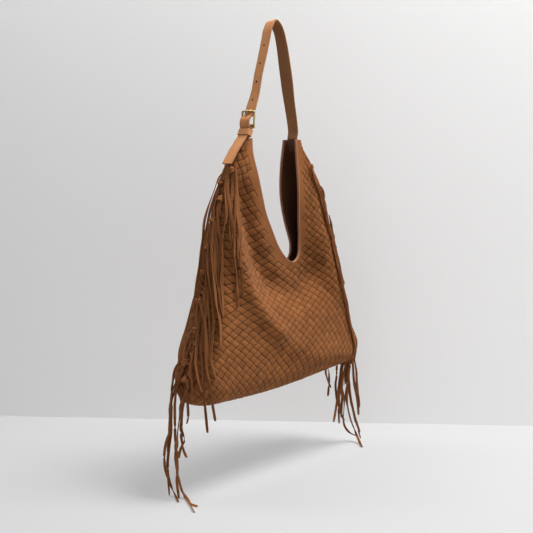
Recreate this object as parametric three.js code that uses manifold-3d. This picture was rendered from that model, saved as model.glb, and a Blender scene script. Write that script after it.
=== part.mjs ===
// Slouchy shoulder bag of woven suede with knotted fringe down both side seams.
// Millimetres, +Z up. The front of the bag faces -Y and its width runs along X.
// The origin is the underside of the shoulder strap at the top of its loop, where the bag is hung.

import * as THREE from 'three';
import { mergeVertices } from 'three/addons/utils/BufferGeometryUtils.js';
import Module from 'manifold-3d';

const wasm = await Module();
wasm.setup();

// Overall sizes
const bodyWidth = 393;
const bodyHeight = 396;
const bodyDepth = 82;
const strapDrop = 183;

// Walls and clearances
const panelThickness = 1.9;
const liningThickness = 1.0;
const sheetClearance = 0.45;
const seamGap = 0.4;
const sewnClearance = 0.45;
const sewnCorner = { '-1': 0, 1: 0.9 };

// Arms and mouth
const tipOuterLeft = 69.5;
const tipOuterRight = 56;
const tipRimLeft = 61.5;
const tipRimRight = 43;
const tipHalfGape = 14.2;
const tipCutLeft = 4;
const armFlare = [5.632, 12.706, 25.282];
const mouthDepth = 199;
const mouthPinch = 11;
const armHalfGape = 20.5;
const hollowReach = 110;
const sideRounding = 38;

// Lower edge
const bottomSag = 7.5;
const bottomLean = 0.045;
const bottomCurl = 0.00035;
const cornerRise = 22;

// Strap, chape and keeper
const strapWidth = 20;
const strapThickness = 2.6;
const strapSewnLength = 18;
const holeRadius = 1.6;
const holePitch = 30;
const spareHoles = 4;
const prongSlotLength = 8.8;
const chapeThickness = 3.0;
const chapeSewnLength = 18;
const keeperHeight = 10.4;
const keeperWall = 1.6;
const keeperDistance = 11.4;
const keeperClearance = 0.4;
const keeperSlack = 1.2;

// Buckle
const heelInset = 14;
const heelRise = 17.7;
const heelRadius = 1.8;
const frameInnerWidth = 23;
const frameReach = 23.6;
const frameLean = 0.6;
const frameThickness = 3.4;
const sideBarWidth = 2.2;
const topBarHeight = 4;
const prongRadius = 1.2;
const prongEyeWidth = 4.4;
const slotWidth = 5.4;
const slotEndClearance = 0.15;
const runningClearance = 0.35;

// Fringe
const tasselCount = 10;
const topKnotDrop = 44;
const lowestKnotHeight = 53.2;
const tasselLength = 197;
const laneSpacing = 13.5;
const laneFan = 0.02;
const layerSlope = 0.057;
const knotHalfWidth = 4.8;
const knotHalfThickness = 3;
const knotClearance = 0.3;
const bundleHalfWidth = 5.2;
const bundleHalfThickness = 2;
const lowestDrift = { left: [-3, -14], right: [0, -14] };

const suede = { color: 0x8a5630, roughness: 0.95, metalness: 0 };
const liningSuede = { color: 0x4a2e1c, roughness: 0.95, metalness: 0 };
const leather = { color: 0xa5683a, roughness: 0.75, metalness: 0 };
const brass = { color: 0xb39a66, roughness: 0.35, metalness: 1 };

const baseLevel = -(bodyHeight + strapDrop);
const mouthFloor = bodyHeight - mouthDepth;
const topKnotHeight = bodyHeight - topKnotDrop;
const knotPitch = (topKnotHeight - lowestKnotHeight) / (tasselCount - 1);
const sheetStack = panelThickness + sheetClearance + liningThickness;
const level = (height) => baseLevel + height;
const { lerp } = THREE.MathUtils;

// Smooth curve through (argument, value) pairs, flat beyond its ends
function profile(pairs) {
  const slope = (i) => {
    const before = pairs[Math.max(0, i - 1)];
    const after = pairs[Math.min(pairs.length - 1, i + 1)];
    return (after[1] - before[1]) / (after[0] - before[0]);
  };
  return (value) => {
    const last = pairs.length - 1;
    if (value <= pairs[0][0]) return pairs[0][1];
    if (value >= pairs[last][0]) return pairs[last][1];
    const i = pairs.findIndex((pair, k) => k < last && value <= pairs[k + 1][0]);
    const span = pairs[i + 1][0] - pairs[i][0];
    const t = (value - pairs[i][0]) / span;
    const rise = pairs[i + 1][1] - pairs[i][1];
    const ease = t * t * (3 - 2 * t);
    const start = t * (1 - t) * (1 - t) * slope(i) * span;
    const end = t * t * (t - 1) * slope(i + 1) * span;
    return pairs[i][1] + rise * ease + start + end;
  };
}

const smooth = (t) => {
  const clamped = Math.min(1, Math.max(0, t));
  return clamped * clamped * (3 - 2 * clamped);
};

// Half width, sideways shift and half depth of the sack by height
const tipHalfWidth = (tipOuterLeft + tipOuterRight) / 2;
const halfWidth = profile([
  [0, 0.5 * bodyWidth],
  [0.137 * bodyHeight, 0.473 * bodyWidth],
  [0.295 * bodyHeight, 0.42 * bodyWidth],
  [0.483 * bodyHeight, 0.372 * bodyWidth],
  [0.636 * bodyHeight, 0.333 * bodyWidth],
  [0.738 * bodyHeight, 0.308 * bodyWidth],
  [0.819 * bodyHeight, 0.277 * bodyWidth],
  [0.903 * bodyHeight, tipHalfWidth + armFlare[2]],
  [0.944 * bodyHeight, tipHalfWidth + armFlare[1]],
  [0.968 * bodyHeight, tipHalfWidth + armFlare[0]],
  [bodyHeight, tipHalfWidth],
]);
const shift = profile([
  [0.76 * bodyHeight, 0],
  [0.86 * bodyHeight, -3.5],
  [0.944 * bodyHeight, -6.5],
  [0.968 * bodyHeight, -8.3],
  [bodyHeight, (tipOuterRight - tipOuterLeft) / 2],
]);
const halfDepth = profile([
  [0, 0.49 * bodyDepth],
  [0.15 * bodyHeight, 0.5 * bodyDepth],
  [0.31 * bodyHeight, 0.46 * bodyDepth],
  [0.5 * bodyHeight, 0.385 * bodyDepth],
  [0.71 * bodyHeight, 0.31 * bodyDepth],
  [0.9 * bodyHeight, 0.24 * bodyDepth],
  [bodyHeight, tipHalfGape + 1],
]);
const halfGape = profile([
  [mouthFloor, mouthPinch],
  [mouthFloor + 28, mouthPinch],
  [mouthFloor + 53, 0.73 * armHalfGape],
  [mouthFloor + 100, armHalfGape],
  [mouthFloor + 135, armHalfGape],
  [bodyHeight, tipHalfGape],
]);
const sideX = (height, side) => shift(height) + side * halfWidth(height);
const bottomHeight = (x) => -bottomSag + bottomLean * x + bottomCurl * x * x;

// Outer edge of a panel from the left arm's tip, round the bottom, to the right arm's tip
function outerEdge() {
  const heights = [0.962, 0.92, 0.87, 0.82, 0.72, 0.6, 0.46, 0.3, 0.15].map((share) => share * bodyHeight);
  const left = [bodyHeight - tipCutLeft, ...heights].map((height) => [sideX(height, -1), height]);
  const right = [bodyHeight, ...heights].map((height) => [sideX(height, 1), height]).reverse();
  const half = bodyWidth / 2;
  const corner = (side) => {
    const low = bottomHeight(side * (half - cornerRise));
    const upper = [side * (half - 0.08 * cornerRise), low + 1.15 * cornerRise];
    const middle = [side * (half - 0.3 * cornerRise), low + 0.4 * cornerRise];
    return side < 0 ? [upper, middle] : [middle, upper];
  };
  const floor = [-0.87, -0.6, -0.3, 0, 0.3, 0.6, 0.87].map((share) => [share * half, bottomHeight(share * half)]);
  return [...left, ...corner(-1), ...floor, ...corner(1), ...right];
}

// Mouth edge from the left arm's tip down the U and up to the right arm's tip
function mouthEdge() {
  const left = [[-62, 0.88], [-55, 0.73], [-46, 0.56], [-35, 0.42], [-19.5, 0.3], [-1, 0.172], [17, 0.066]];
  const floor = [[32, 0.01], [42, 0], [50, 0.02], [55, 0.06], [56.3, 0.13]];
  const right = [[53.5, 0.22], [48.5, 0.33], [44.5, 0.47], [42.3, 0.63], [41.6, 0.8]];
  const rise = bodyHeight - mouthFloor;
  const inner = [...left, ...floor, ...right].map(([x, share]) => [x, mouthFloor + share * rise]);
  return [[-tipRimLeft, bodyHeight], ...inner, [tipRimRight, bodyHeight]];
}

const planeCurve = (points) => new THREE.CatmullRomCurve3(
  points.map(([x, z]) => new THREE.Vector3(x, 0, z)), false, 'centripetal');
const outerCurve = planeCurve(outerEdge());
const mouthCurve = planeCurve(mouthEdge());
outerCurve.arcLengthDivisions = 1200;
mouthCurve.arcLengthDivisions = 800;

const acrossShare = (w, pull) => w + pull * Math.sin(2 * Math.PI * w);
const flatShare = 0.5;
const roundingShare = 0.28;

// Point of a sheet of the sack. w runs along the edges, row from the mouth (0) to the seam (1),
// inset is the depth below the outer face, and face is -1 for the front and +1 for the back.
function sheetPoint(w, row, inset, face) {
  const mouth = mouthCurve.getPointAt(acrossShare(w, 0.14));
  const edge = outerCurve.getPointAt(acrossShare(w, -0.05));
  const inward = mouth.clone().sub(edge);
  const fullSpan = inward.length();
  inward.normalize();
  edge.addScaledVector(inward, inset);
  const span = fullSpan - inset;
  const rounding = Math.max(Math.min(sideRounding, roundingShare * fullSpan) - inset, 0.8);
  const turn = (Math.PI / 2) * (1 - Math.max(0, (row - flatShare) / (1 - flatShare)));
  const fromMouth = Math.min(row / flatShare, 1) * (span - rounding);
  const fromEdge = row < flatShare ? span - fromMouth : rounding * (1 - Math.cos(turn));
  const point = edge.addScaledVector(inward, fromEdge);
  const belly = (halfDepth(point.z) - inset) * Math.sin(turn);
  const gape = halfGape(mouth.z) - inset;
  const reach = Math.min(hollowReach, 0.62 * fullSpan);
  const swell = smooth((span - fromEdge) / reach);
  const depth = row === 1 ? 0 : gape + (belly - gape) * swell;
  return new THREE.Vector3(point.x, face * (depth + seamGap / 2), level(point.z));
}

// Closed thin shell between two insets
function sheetGeometry(face, outerInset, innerInset) {
  const columns = 40;
  const rows = 12;
  const vertices = [];
  const index = (layer, i, j) => layer * (columns + 1) * (rows + 1) + i * (rows + 1) + j;
  for (const inset of [outerInset, innerInset]) {
    for (let i = 0; i <= columns; i += 1) {
      for (let j = 0; j <= rows; j += 1) {
        vertices.push(...sheetPoint(i / columns, j / rows, inset, face).toArray());
      }
    }
  }
  const faces = [];
  const quad = (a, b, c, d) => faces.push(a, b, c, a, c, d);
  for (let i = 0; i < columns; i += 1) {
    for (let j = 0; j < rows; j += 1) {
      quad(index(0, i, j), index(0, i, j + 1), index(0, i + 1, j + 1), index(0, i + 1, j));
      quad(index(1, i, j), index(1, i + 1, j), index(1, i + 1, j + 1), index(1, i, j + 1));
    }
    quad(index(0, i, 0), index(0, i + 1, 0), index(1, i + 1, 0), index(1, i, 0));
    quad(index(0, i, rows), index(1, i, rows), index(1, i + 1, rows), index(0, i + 1, rows));
  }
  for (let j = 0; j < rows; j += 1) {
    quad(index(0, 0, j), index(1, 0, j), index(1, 0, j + 1), index(0, 0, j + 1));
    quad(index(0, columns, j), index(0, columns, j + 1), index(1, columns, j + 1), index(1, columns, j));
  }
  return closedGeometry(vertices, faces);
}

// Geometry with its faces turned outwards
function closedGeometry(vertices, faces) {
  const at = (i) => new THREE.Vector3().fromArray(vertices, 3 * i);
  let volume = 0;
  for (let i = 0; i < faces.length; i += 3) {
    volume += at(faces[i]).dot(at(faces[i + 1]).cross(at(faces[i + 2])));
  }
  const ordered = volume < 0 ? faces.slice().reverse() : faces;
  const geometry = new THREE.BufferGeometry();
  geometry.setAttribute('position', new THREE.Float32BufferAttribute(vertices, 3));
  geometry.setIndex(ordered);
  return geometry;
}

function toSolid(geometry) {
  const bare = geometry.clone();
  bare.deleteAttribute('normal');
  bare.deleteAttribute('uv');
  const merged = mergeVertices(bare, 1e-4);
  return new wasm.Manifold(new wasm.Mesh({
    numProp: 3,
    vertProperties: new Float32Array(merged.attributes.position.array),
    triVerts: new Uint32Array(merged.index.array),
  }));
}

function fromSolid(solid) {
  const mesh = solid.getMesh();
  const geometry = new THREE.BufferGeometry();
  geometry.setAttribute('position', new THREE.Float32BufferAttribute(mesh.vertProperties, 3));
  geometry.setIndex(Array.from(mesh.triVerts));
  return geometry;
}

// Skin over rings of points that all have the same count
function skinRings(rings) {
  const count = rings[0].length;
  const vertices = rings.flat().flatMap((point) => point.toArray());
  const faces = [];
  for (let i = 0; i + 1 < rings.length; i += 1) {
    for (let j = 0; j < count; j += 1) {
      const next = (j + 1) % count;
      faces.push(i * count + j, i * count + next, (i + 1) * count + next);
      faces.push(i * count + j, (i + 1) * count + next, (i + 1) * count + j);
    }
  }
  const last = (rings.length - 1) * count;
  for (let j = 1; j + 1 < count; j += 1) {
    faces.push(0, j + 1, j);
    faces.push(last, last + j, last + j + 1);
  }
  return closedGeometry(vertices, faces);
}

const vector = (x, z) => new THREE.Vector3(x, 0, z);
const across = new THREE.Vector3(0, 1, 0);

// Where a strip sewn inside an arm runs, against the lining of the outer wall
function seatPoint(height, side, thickness) {
  const step = 4;
  const slope = (sideX(height - step, side) - sideX(height, side)) / step;
  const inset = (sheetStack + sewnClearance + sewnCorner[side] + thickness / 2) * Math.hypot(1, slope);
  return vector(sideX(height, side) - side * inset, level(height));
}

// Buckle places
const tipCorner = vector(-tipOuterLeft, level(bodyHeight));
const heel = tipCorner.clone().add(vector(heelInset, heelRise));
const topBar = heel.clone().add(vector(frameLean, frameReach));
const chapeSeat = seatPoint(bodyHeight, -1, chapeThickness);
const chapeAxis = chapeSeat.clone().sub(heel).normalize();
const outward = vector(chapeAxis.z, -chapeAxis.x);
const chapeEyeRadius = heelRadius + runningClearance;
const prongEyeRadius = chapeEyeRadius + 1.3;
const stripSpacing = (chapeThickness + strapThickness) / 2 + keeperClearance;
const chapeAt = (distance) => heel.clone().addScaledVector(chapeAxis, distance);
const strapOverChape = (distance, slack) => chapeAt(distance).addScaledVector(outward, stripSpacing + slack);

// Centre line of the strap from its loose tail, through keeper and buckle, over the loop to the right arm
function strapRoute() {
  const tail = [[-33, -39.5], [-24, -27.6], [-16, -17.2], [-9, -9.2]]
    .map(([x, z]) => vector(x, z))
    .map((offset) => offset.add(tipCorner));
  const keeper = [
    strapOverChape(keeperDistance + 0.45 * keeperHeight, keeperSlack),
    strapOverChape(keeperDistance - 0.45 * keeperHeight, 0),
  ];
  const bulge = [vector(-7.8, 2), vector(-7.4, 9.5), vector(-2.9, 15.2)].map((offset) => offset.add(heel));
  const aroundBar = [vector(2.9, -4.6), vector(4.6, 1)].map((offset) => offset.add(topBar));
  const loop = [[-38.6, -111.4], [-31.9, -84.3], [-22.5, -55], [-14.8, -29], [-9.8, -12]];
  const far = [[9.5, -3.8], [16.2, -13], [22.5, -30], [33.6, -79], [41.3, -118], [49, -152], [52, -171]];
  const sewn = [0, 0.5, 1].map((share) => seatPoint(bodyHeight - share * strapSewnLength, 1, strapThickness));
  return [
    ...tail,
    ...keeper,
    ...bulge,
    ...aroundBar,
    ...loop.map(([x, z]) => vector(x, z)),
    vector(0, strapThickness / 2),
    ...far.map(([x, z]) => vector(x, z)),
    ...sewn,
  ];
}

// Flat strip swept through shares of a route in the XZ plane, with a twist by the share of its length
function stripRings(curve, shares, width, thickness, twistAt) {
  const rings = [];
  for (const share of shares) {
    const centre = curve.getPointAt(share);
    const tangent = curve.getTangentAt(share);
    const side = across.clone().applyAxisAngle(tangent, twistAt(share));
    const normal = tangent.clone().cross(side).normalize();
    const corner = (a, b) => centre.clone()
      .addScaledVector(side, a * width / 2)
      .addScaledVector(normal, b * thickness / 2);
    rings.push([corner(-1, -1), corner(1, -1), corner(1, 1), corner(-1, 1)]);
  }
  return rings;
}

const strapCurve = new THREE.CatmullRomCurve3(strapRoute(), false, 'centripetal');
strapCurve.arcLengthDivisions = 1500;

// Share of the strap's length at which it lies nearest a straight line
function nearestShare(line) {
  const shares = Array.from({ length: 2001 }, (_, i) => i / 2000);
  const distance = shares.map((share) => {
    const point = strapCurve.getPointAt(share);
    return line.closestPointToPoint(point, true, new THREE.Vector3()).distanceTo(point);
  });
  return shares[distance.indexOf(Math.min(...distance))];
}

const prongHeel = heel.clone();
const prongRest = topBar.clone().add(vector(-(frameThickness / 2 + runningClearance + prongRadius), 0));
const pierceShare = nearestShare(new THREE.Line3(prongHeel, prongRest));
const strapTwistAt = profile([
  [pierceShare + 0.04, 0],
  [pierceShare + 0.12, -0.17],
  [pierceShare + 0.27, -0.12],
  [pierceShare + 0.42, -0.12],
  [pierceShare + 0.56, -0.42],
  [pierceShare + 0.64, -0.16],
  [1 - strapSewnLength / strapCurve.getLength(), 0],
]);

// Punch standing across the strip at a share of its length
function punch(share, radius, slotLength) {
  const centre = strapCurve.getPointAt(share);
  const tangent = strapCurve.getTangentAt(share);
  const tool = new THREE.CylinderGeometry(radius, radius, 4 * strapThickness, 12);
  tool.scale(Math.max(1, slotLength / (2 * radius)), 1, 1);
  const side = across.clone().applyAxisAngle(tangent, strapTwistAt(share));
  const basis = new THREE.Matrix4().makeBasis(tangent, side.clone().cross(tangent), side);
  tool.applyMatrix4(basis.setPosition(centre));
  return toSolid(tool);
}

// Shares of a length, closer together up to a bend's end than beyond it
function sharesTo(bendEnd, fineCount, coarseCount) {
  const fine = Array.from({ length: fineCount }, (_, i) => (bendEnd * i) / fineCount);
  const coarse = Array.from({ length: coarseCount + 1 }, (_, i) => lerp(bendEnd, 1, i / coarseCount));
  return [...fine, ...coarse];
}

function strapGeometry() {
  const shares = sharesTo(pierceShare + 0.05, 40, 46);
  let solid = toSolid(skinRings(stripRings(strapCurve, shares, strapWidth, strapThickness, strapTwistAt)));
  solid = solid.subtract(punch(pierceShare, prongRadius + 0.5, prongSlotLength));
  const length = strapCurve.getLength();
  for (let i = 1; i <= spareHoles; i += 1) {
    solid = solid.subtract(punch(pierceShare + i * holePitch / length, holeRadius, 0));
  }
  return fromSolid(solid);
}

// Bar along Y
function crossBar(centre, radius, length, sides) {
  const bar = new THREE.CylinderGeometry(radius, radius, length, sides);
  bar.translate(centre.x, 0, centre.z);
  return toSolid(bar);
}

function block(centre, size) {
  const box = new THREE.BoxGeometry(size.x, size.y, size.z);
  box.translate(centre.x, centre.y, centre.z);
  return toSolid(box);
}

// Folded strip that holds the buckle, with its eye round the heel bar and a slot for the prong
function chapeGeometry() {
  const sewn = [0, 0.5, 1].map((share) => seatPoint(bodyHeight - share * chapeSewnLength, -1, chapeThickness));
  const route = new THREE.CatmullRomCurve3([heel.clone(), chapeAt(8), ...sewn], false, 'centripetal');
  const strip = toSolid(skinRings(stripRings(route, sharesTo(0, 0, 14), strapWidth - 1, chapeThickness, () => 0)));
  const eye = crossBar(heel, chapeEyeRadius + chapeThickness / 2, strapWidth - 1, 20);
  const bore = crossBar(heel, chapeEyeRadius, strapWidth, 20);
  const eyeReach = chapeEyeRadius + chapeThickness / 2 + slotEndClearance;
  const reach = Math.max(prongEyeRadius + runningClearance, eyeReach);
  const slot = block(heel, new THREE.Vector3(4 * reach, slotWidth, 2 * reach));
  return fromSolid(strip.add(eye).subtract(bore).subtract(slot));
}

// One cast loop: two side bars, a thick top bar and a round heel bar
function frameGeometry() {
  const half = frameInnerWidth / 2;
  const barY = half + sideBarWidth / 2;
  const middle = heel.clone().lerp(topBar, 0.5);
  let solid = crossBar(heel, heelRadius, frameInnerWidth + sideBarWidth, 16);
  for (const side of [-1, 1]) {
    const bar = new THREE.BoxGeometry(frameThickness, sideBarWidth, frameReach + topBarHeight);
    bar.rotateY(Math.atan2(frameLean, frameReach));
    bar.translate(middle.x, side * barY, middle.z);
    solid = solid.add(toSolid(bar));
  }
  const top = new THREE.CylinderGeometry(topBarHeight / 2, topBarHeight / 2, frameInnerWidth + 2 * sideBarWidth, 12);
  top.scale(frameThickness / topBarHeight, 1, 1);
  top.translate(topBar.x, 0, topBar.z);
  return fromSolid(solid.add(toSolid(top)));
}

// Pin that turns on the heel bar, passes through the strap and rests on the top bar
function prongGeometry() {
  const eye = crossBar(heel, prongEyeRadius, prongEyeWidth, 16);
  const bore = crossBar(heel, chapeEyeRadius, prongEyeWidth + 2, 16);
  const direction = prongRest.clone().sub(prongHeel).normalize();
  const start = prongHeel.clone().addScaledVector(direction, chapeEyeRadius + 0.4);
  const end = prongRest.clone().addScaledVector(direction, 2.4);
  const pin = new THREE.CylinderGeometry(0.8 * prongRadius, prongRadius, start.distanceTo(end), 12);
  pin.applyQuaternion(new THREE.Quaternion().setFromUnitVectors(across, direction));
  const centre = start.clone().lerp(end, 0.5);
  pin.translate(centre.x, 0, centre.z);
  return fromSolid(eye.add(toSolid(pin)).subtract(bore));
}

// Leather loop round strap and chape
function keeperGeometry() {
  const innerWidth = strapWidth + 2 * keeperClearance;
  const innerDepth = chapeThickness + strapThickness + 3 * keeperClearance + keeperSlack;
  const shape = new THREE.Shape();
  const rounded = (target, halfX, halfY, radius) => {
    target.moveTo(-halfX + radius, -halfY);
    target.lineTo(halfX - radius, -halfY);
    target.absarc(halfX - radius, -halfY + radius, radius, -Math.PI / 2, 0, false);
    target.lineTo(halfX, halfY - radius);
    target.absarc(halfX - radius, halfY - radius, radius, 0, Math.PI / 2, false);
    target.lineTo(-halfX + radius, halfY);
    target.absarc(-halfX + radius, halfY - radius, radius, Math.PI / 2, Math.PI, false);
    target.lineTo(-halfX, -halfY + radius);
    target.absarc(-halfX + radius, -halfY + radius, radius, Math.PI, 1.5 * Math.PI, false);
  };
  rounded(shape, innerWidth / 2 + keeperWall, innerDepth / 2 + keeperWall, keeperWall);
  const opening = new THREE.Path();
  rounded(opening, innerWidth / 2, innerDepth / 2, 0.3);
  shape.holes.push(opening);
  const loop = new THREE.ExtrudeGeometry(shape, { depth: keeperHeight, bevelEnabled: false, curveSegments: 3 });
  loop.translate(0, 0, -keeperHeight / 2);
  const middle = chapeAt(keeperDistance)
    .addScaledVector(outward, (innerDepth - chapeThickness) / 2 - keeperClearance);
  const basis = new THREE.Matrix4().makeBasis(across, outward.clone(), across.clone().cross(outward));
  loop.applyMatrix4(basis.setPosition(middle));
  return fromSolid(toSolid(loop));
}

// Place where a test along a range stops holding
function bisect(start, end, holds) {
  let [held, failed] = [start, end];
  for (let i = 0; i < 24; i += 1) {
    const middle = (held + failed) / 2;
    if (holds(middle)) held = middle;
    else failed = middle;
  }
  return (held + failed) / 2;
}

// Outer face of the sack's side at a height and a depth Y, with the direction away from it
function sidePoint(height, y, side) {
  const face = y < 0 ? -1 : 1;
  const start = side < 0 ? 0 : 1;
  const rowAt = (w) => bisect(flatShare, 1, (row) => Math.abs(sheetPoint(w, row, 0, face).y) > Math.abs(y));
  const w = bisect(start, start - 0.4 * side, (share) => sheetPoint(share, rowAt(share), 0, face).z > level(height));
  const row = rowAt(w);
  const step = 0.004;
  const along = sheetPoint(w + step, row, 0, face).sub(sheetPoint(w - step, row, 0, face));
  const around = sheetPoint(w, row - step, 0, face).sub(sheetPoint(w, Math.min(row + step, 0.999), 0, face));
  const normal = along.cross(around).normalize();
  return { point: sheetPoint(w, row, 0, face), normal: normal.multiplyScalar(side * Math.sign(normal.x)) };
}

// Knot on the side seam with its bundle of laces hanging below it
function tasselGeometry(number, side) {
  const lane = (number % 3) - 1;
  const knotHeight = topKnotHeight - number * knotPitch;
  const lowest = number === tasselCount - 1;
  const drift = side < 0 ? lowestDrift.left : lowestDrift.right;
  const knot = [[-4.3, 0.45, 0.4], [-1.6, 0.95, 0.9], [3.5, 1, 1], [7.9, 0.55, 0.5]];
  const bundle = [1, 2, 3, 4, 5].map((pitches) => [pitches * knotPitch, 0.9 + 0.25 * smooth(pitches / 2), 0.75]);
  const rings = [...knot, ...bundle, [tasselLength, 0.45, 0.4]].map(([along, wide, thick], row) => {
    const height = knotHeight - along;
    const y = lane * (laneSpacing + laneFan * Math.max(0, along));
    const lowestHold = 1.15 * cornerRise + bottomHeight(side * (0.5 * bodyWidth - cornerRise));
    const { point, normal } = sidePoint(Math.max(height, lowestHold), y, side);
    point.z = level(height);
    const halfThickness = thick * (row < 4 ? knotHalfThickness : bundleHalfThickness);
    const halfSpan = wide * (row < 4 ? knotHalfWidth : bundleHalfWidth);
    const lift = knotHalfThickness + knotClearance + layerSlope * Math.max(0, along);
    point.addScaledVector(normal, lift);
    if (lowest) {
      const bend = Math.max(0, along / tasselLength) ** 2;
      point.x += drift[0] * bend;
      point.y += drift[1] * bend;
    }
    const flat = new THREE.Vector3(-normal.y, normal.x, 0).normalize();
    const ring = [];
    for (let k = 0; k < 8; k += 1) {
      const angle = (k / 8) * 2 * Math.PI;
      ring.push(point.clone()
        .addScaledVector(flat, halfSpan * Math.cos(angle))
        .addScaledVector(normal, halfThickness * Math.sin(angle)));
    }
    return ring;
  });
  return skinRings(rings);
}

function addMesh(group, name, geometry, finish) {
  const mesh = new THREE.Mesh(geometry, new THREE.MeshStandardMaterial(finish));
  mesh.name = name;
  group.add(mesh);
}

function addSack(bag) {
  const liningInset = panelThickness + sheetClearance;
  addMesh(bag, 'front_panel', sheetGeometry(-1, 0, panelThickness), suede);
  addMesh(bag, 'back_panel', sheetGeometry(1, 0, panelThickness), suede);
  addMesh(bag, 'front_lining', sheetGeometry(-1, liningInset, sheetStack), liningSuede);
  addMesh(bag, 'back_lining', sheetGeometry(1, liningInset, sheetStack), liningSuede);
}

function addStrap(bag) {
  addMesh(bag, 'shoulder_strap', strapGeometry(), leather);
  addMesh(bag, 'chape', chapeGeometry(), leather);
  addMesh(bag, 'keeper', keeperGeometry(), leather);
  addMesh(bag, 'buckle_frame', frameGeometry(), brass);
  addMesh(bag, 'buckle_prong', prongGeometry(), brass);
}

function addFringe(bag) {
  for (const [side, name] of [[-1, 'left'], [1, 'right']]) {
    for (let number = 0; number < tasselCount; number += 1) {
      const label = String(number + 1).padStart(2, '0');
      addMesh(bag, `tassel_${name}_${label}`, tasselGeometry(number, side), suede);
    }
  }
}

const bag = new THREE.Group();
addSack(bag);
addStrap(bag);
addFringe(bag);

export default bag;
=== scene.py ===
"""Looks of a slouchy shoulder bag of woven suede with knotted fringe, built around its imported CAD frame.

The shape classes count in millimetres, with heights measured up from the level of the sack's lower
edge. Whatever goes into Blender is in metres, on the frame's own axes.
"""

import logging
import math
from dataclasses import dataclass, replace
from enum import Enum

import bpy
import numpy as np
from mathutils import Matrix, Vector
from mathutils.bvhtree import BVHTree


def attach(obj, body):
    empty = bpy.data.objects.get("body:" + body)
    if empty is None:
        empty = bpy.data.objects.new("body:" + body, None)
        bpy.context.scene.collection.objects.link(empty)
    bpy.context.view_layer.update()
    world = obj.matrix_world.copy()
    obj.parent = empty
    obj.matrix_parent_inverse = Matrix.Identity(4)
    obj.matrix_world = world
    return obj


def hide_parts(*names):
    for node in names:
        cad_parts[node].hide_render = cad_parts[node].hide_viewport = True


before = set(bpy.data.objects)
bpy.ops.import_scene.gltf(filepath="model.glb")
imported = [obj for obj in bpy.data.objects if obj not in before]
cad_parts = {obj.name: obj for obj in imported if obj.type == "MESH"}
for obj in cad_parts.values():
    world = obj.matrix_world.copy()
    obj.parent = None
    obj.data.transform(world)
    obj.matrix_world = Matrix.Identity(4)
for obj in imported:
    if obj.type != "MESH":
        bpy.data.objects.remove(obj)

log = logging.getLogger("suede_bag")

MM = 0.001
BODY_WIDTH = 393.0
BODY_HEIGHT = 396.0
BODY_DEPTH = 82.0
STRAP_DROP = 183.0
BASE_LEVEL = -(BODY_HEIGHT + STRAP_DROP)
MOUTH_FLOOR = 197.0
TIP_OUTER_LEFT = 69.5
FLOOR_LEVEL = -722.5
SHEET_STACK = 3.35
SEWN_DROPS = (0, 9, 18)
STRAP_THICKNESS = 2.6
CHAPE_THICKNESS = 3.0
KEEPER_DISTANCE = 11.4
KEEPER_HEIGHT = 10.4
KEEPER_CLEARANCE = 0.4
KEEPER_SLACK = 1.2
HEEL = np.array([-55.5, 0.0, -165.3])
TOP_BAR = np.array([-54.9, 0.0, -141.7])
PRONG_REST = TOP_BAR + (-3.25, 0, 0)
ACROSS = np.array([0.0, 1.0, 0.0])


class Side(Enum):
    """Which side seam a piece hangs on; the value is the sign of X there."""

    LEFT = -1
    RIGHT = 1


class Face(Enum):
    """Which face of the sack a sheet lies on; the value is the sign of Y there."""

    FRONT = -1
    BACK = 1


def smooth(share: np.ndarray) -> np.ndarray:
    """Ease from 0 to 1.

    Args:
        share: Values, of which those below 0 and above 1 are clamped.

    Returns:
        The eased values.
    """
    clamped = np.clip(share, 0.0, 1.0)
    return clamped * clamped * (3.0 - 2.0 * clamped)


def unit(vectors: np.ndarray) -> np.ndarray:
    """Scale vectors to length one.

    Args:
        vectors: Vectors along the last axis.

    Returns:
        The same vectors at length one.
    """
    return vectors / np.maximum(np.linalg.norm(vectors, axis=-1, keepdims=True), 1e-9)


class Profile:
    """Smooth curve through pairs of argument and value, flat beyond its ends."""

    def __init__(self, *pairs: tuple[float, float]) -> None:
        self.at, self.value = np.array(pairs, float).T
        last = len(pairs) - 1
        before = np.maximum(np.arange(last + 1) - 1, 0)
        after = np.minimum(np.arange(last + 1) + 1, last)
        self.slope = (self.value[after] - self.value[before]) / (self.at[after] - self.at[before])

    def __call__(self, argument: np.ndarray) -> np.ndarray:
        """Read the curve.

        Args:
            argument: Places to read it at.

        Returns:
            Its values there.
        """
        place = np.clip(np.asarray(argument, float), self.at[0], self.at[-1])
        i = np.clip(np.searchsorted(self.at, place) - 1, 0, len(self.at) - 2)
        span = self.at[i + 1] - self.at[i]
        t = (place - self.at[i]) / span
        rise = (self.value[i + 1] - self.value[i]) * t * t * (3.0 - 2.0 * t)
        start = t * (1.0 - t) ** 2 * self.slope[i] * span
        end = t * t * (t - 1.0) * self.slope[i + 1] * span
        return self.value[i] + rise + start + end


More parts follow.
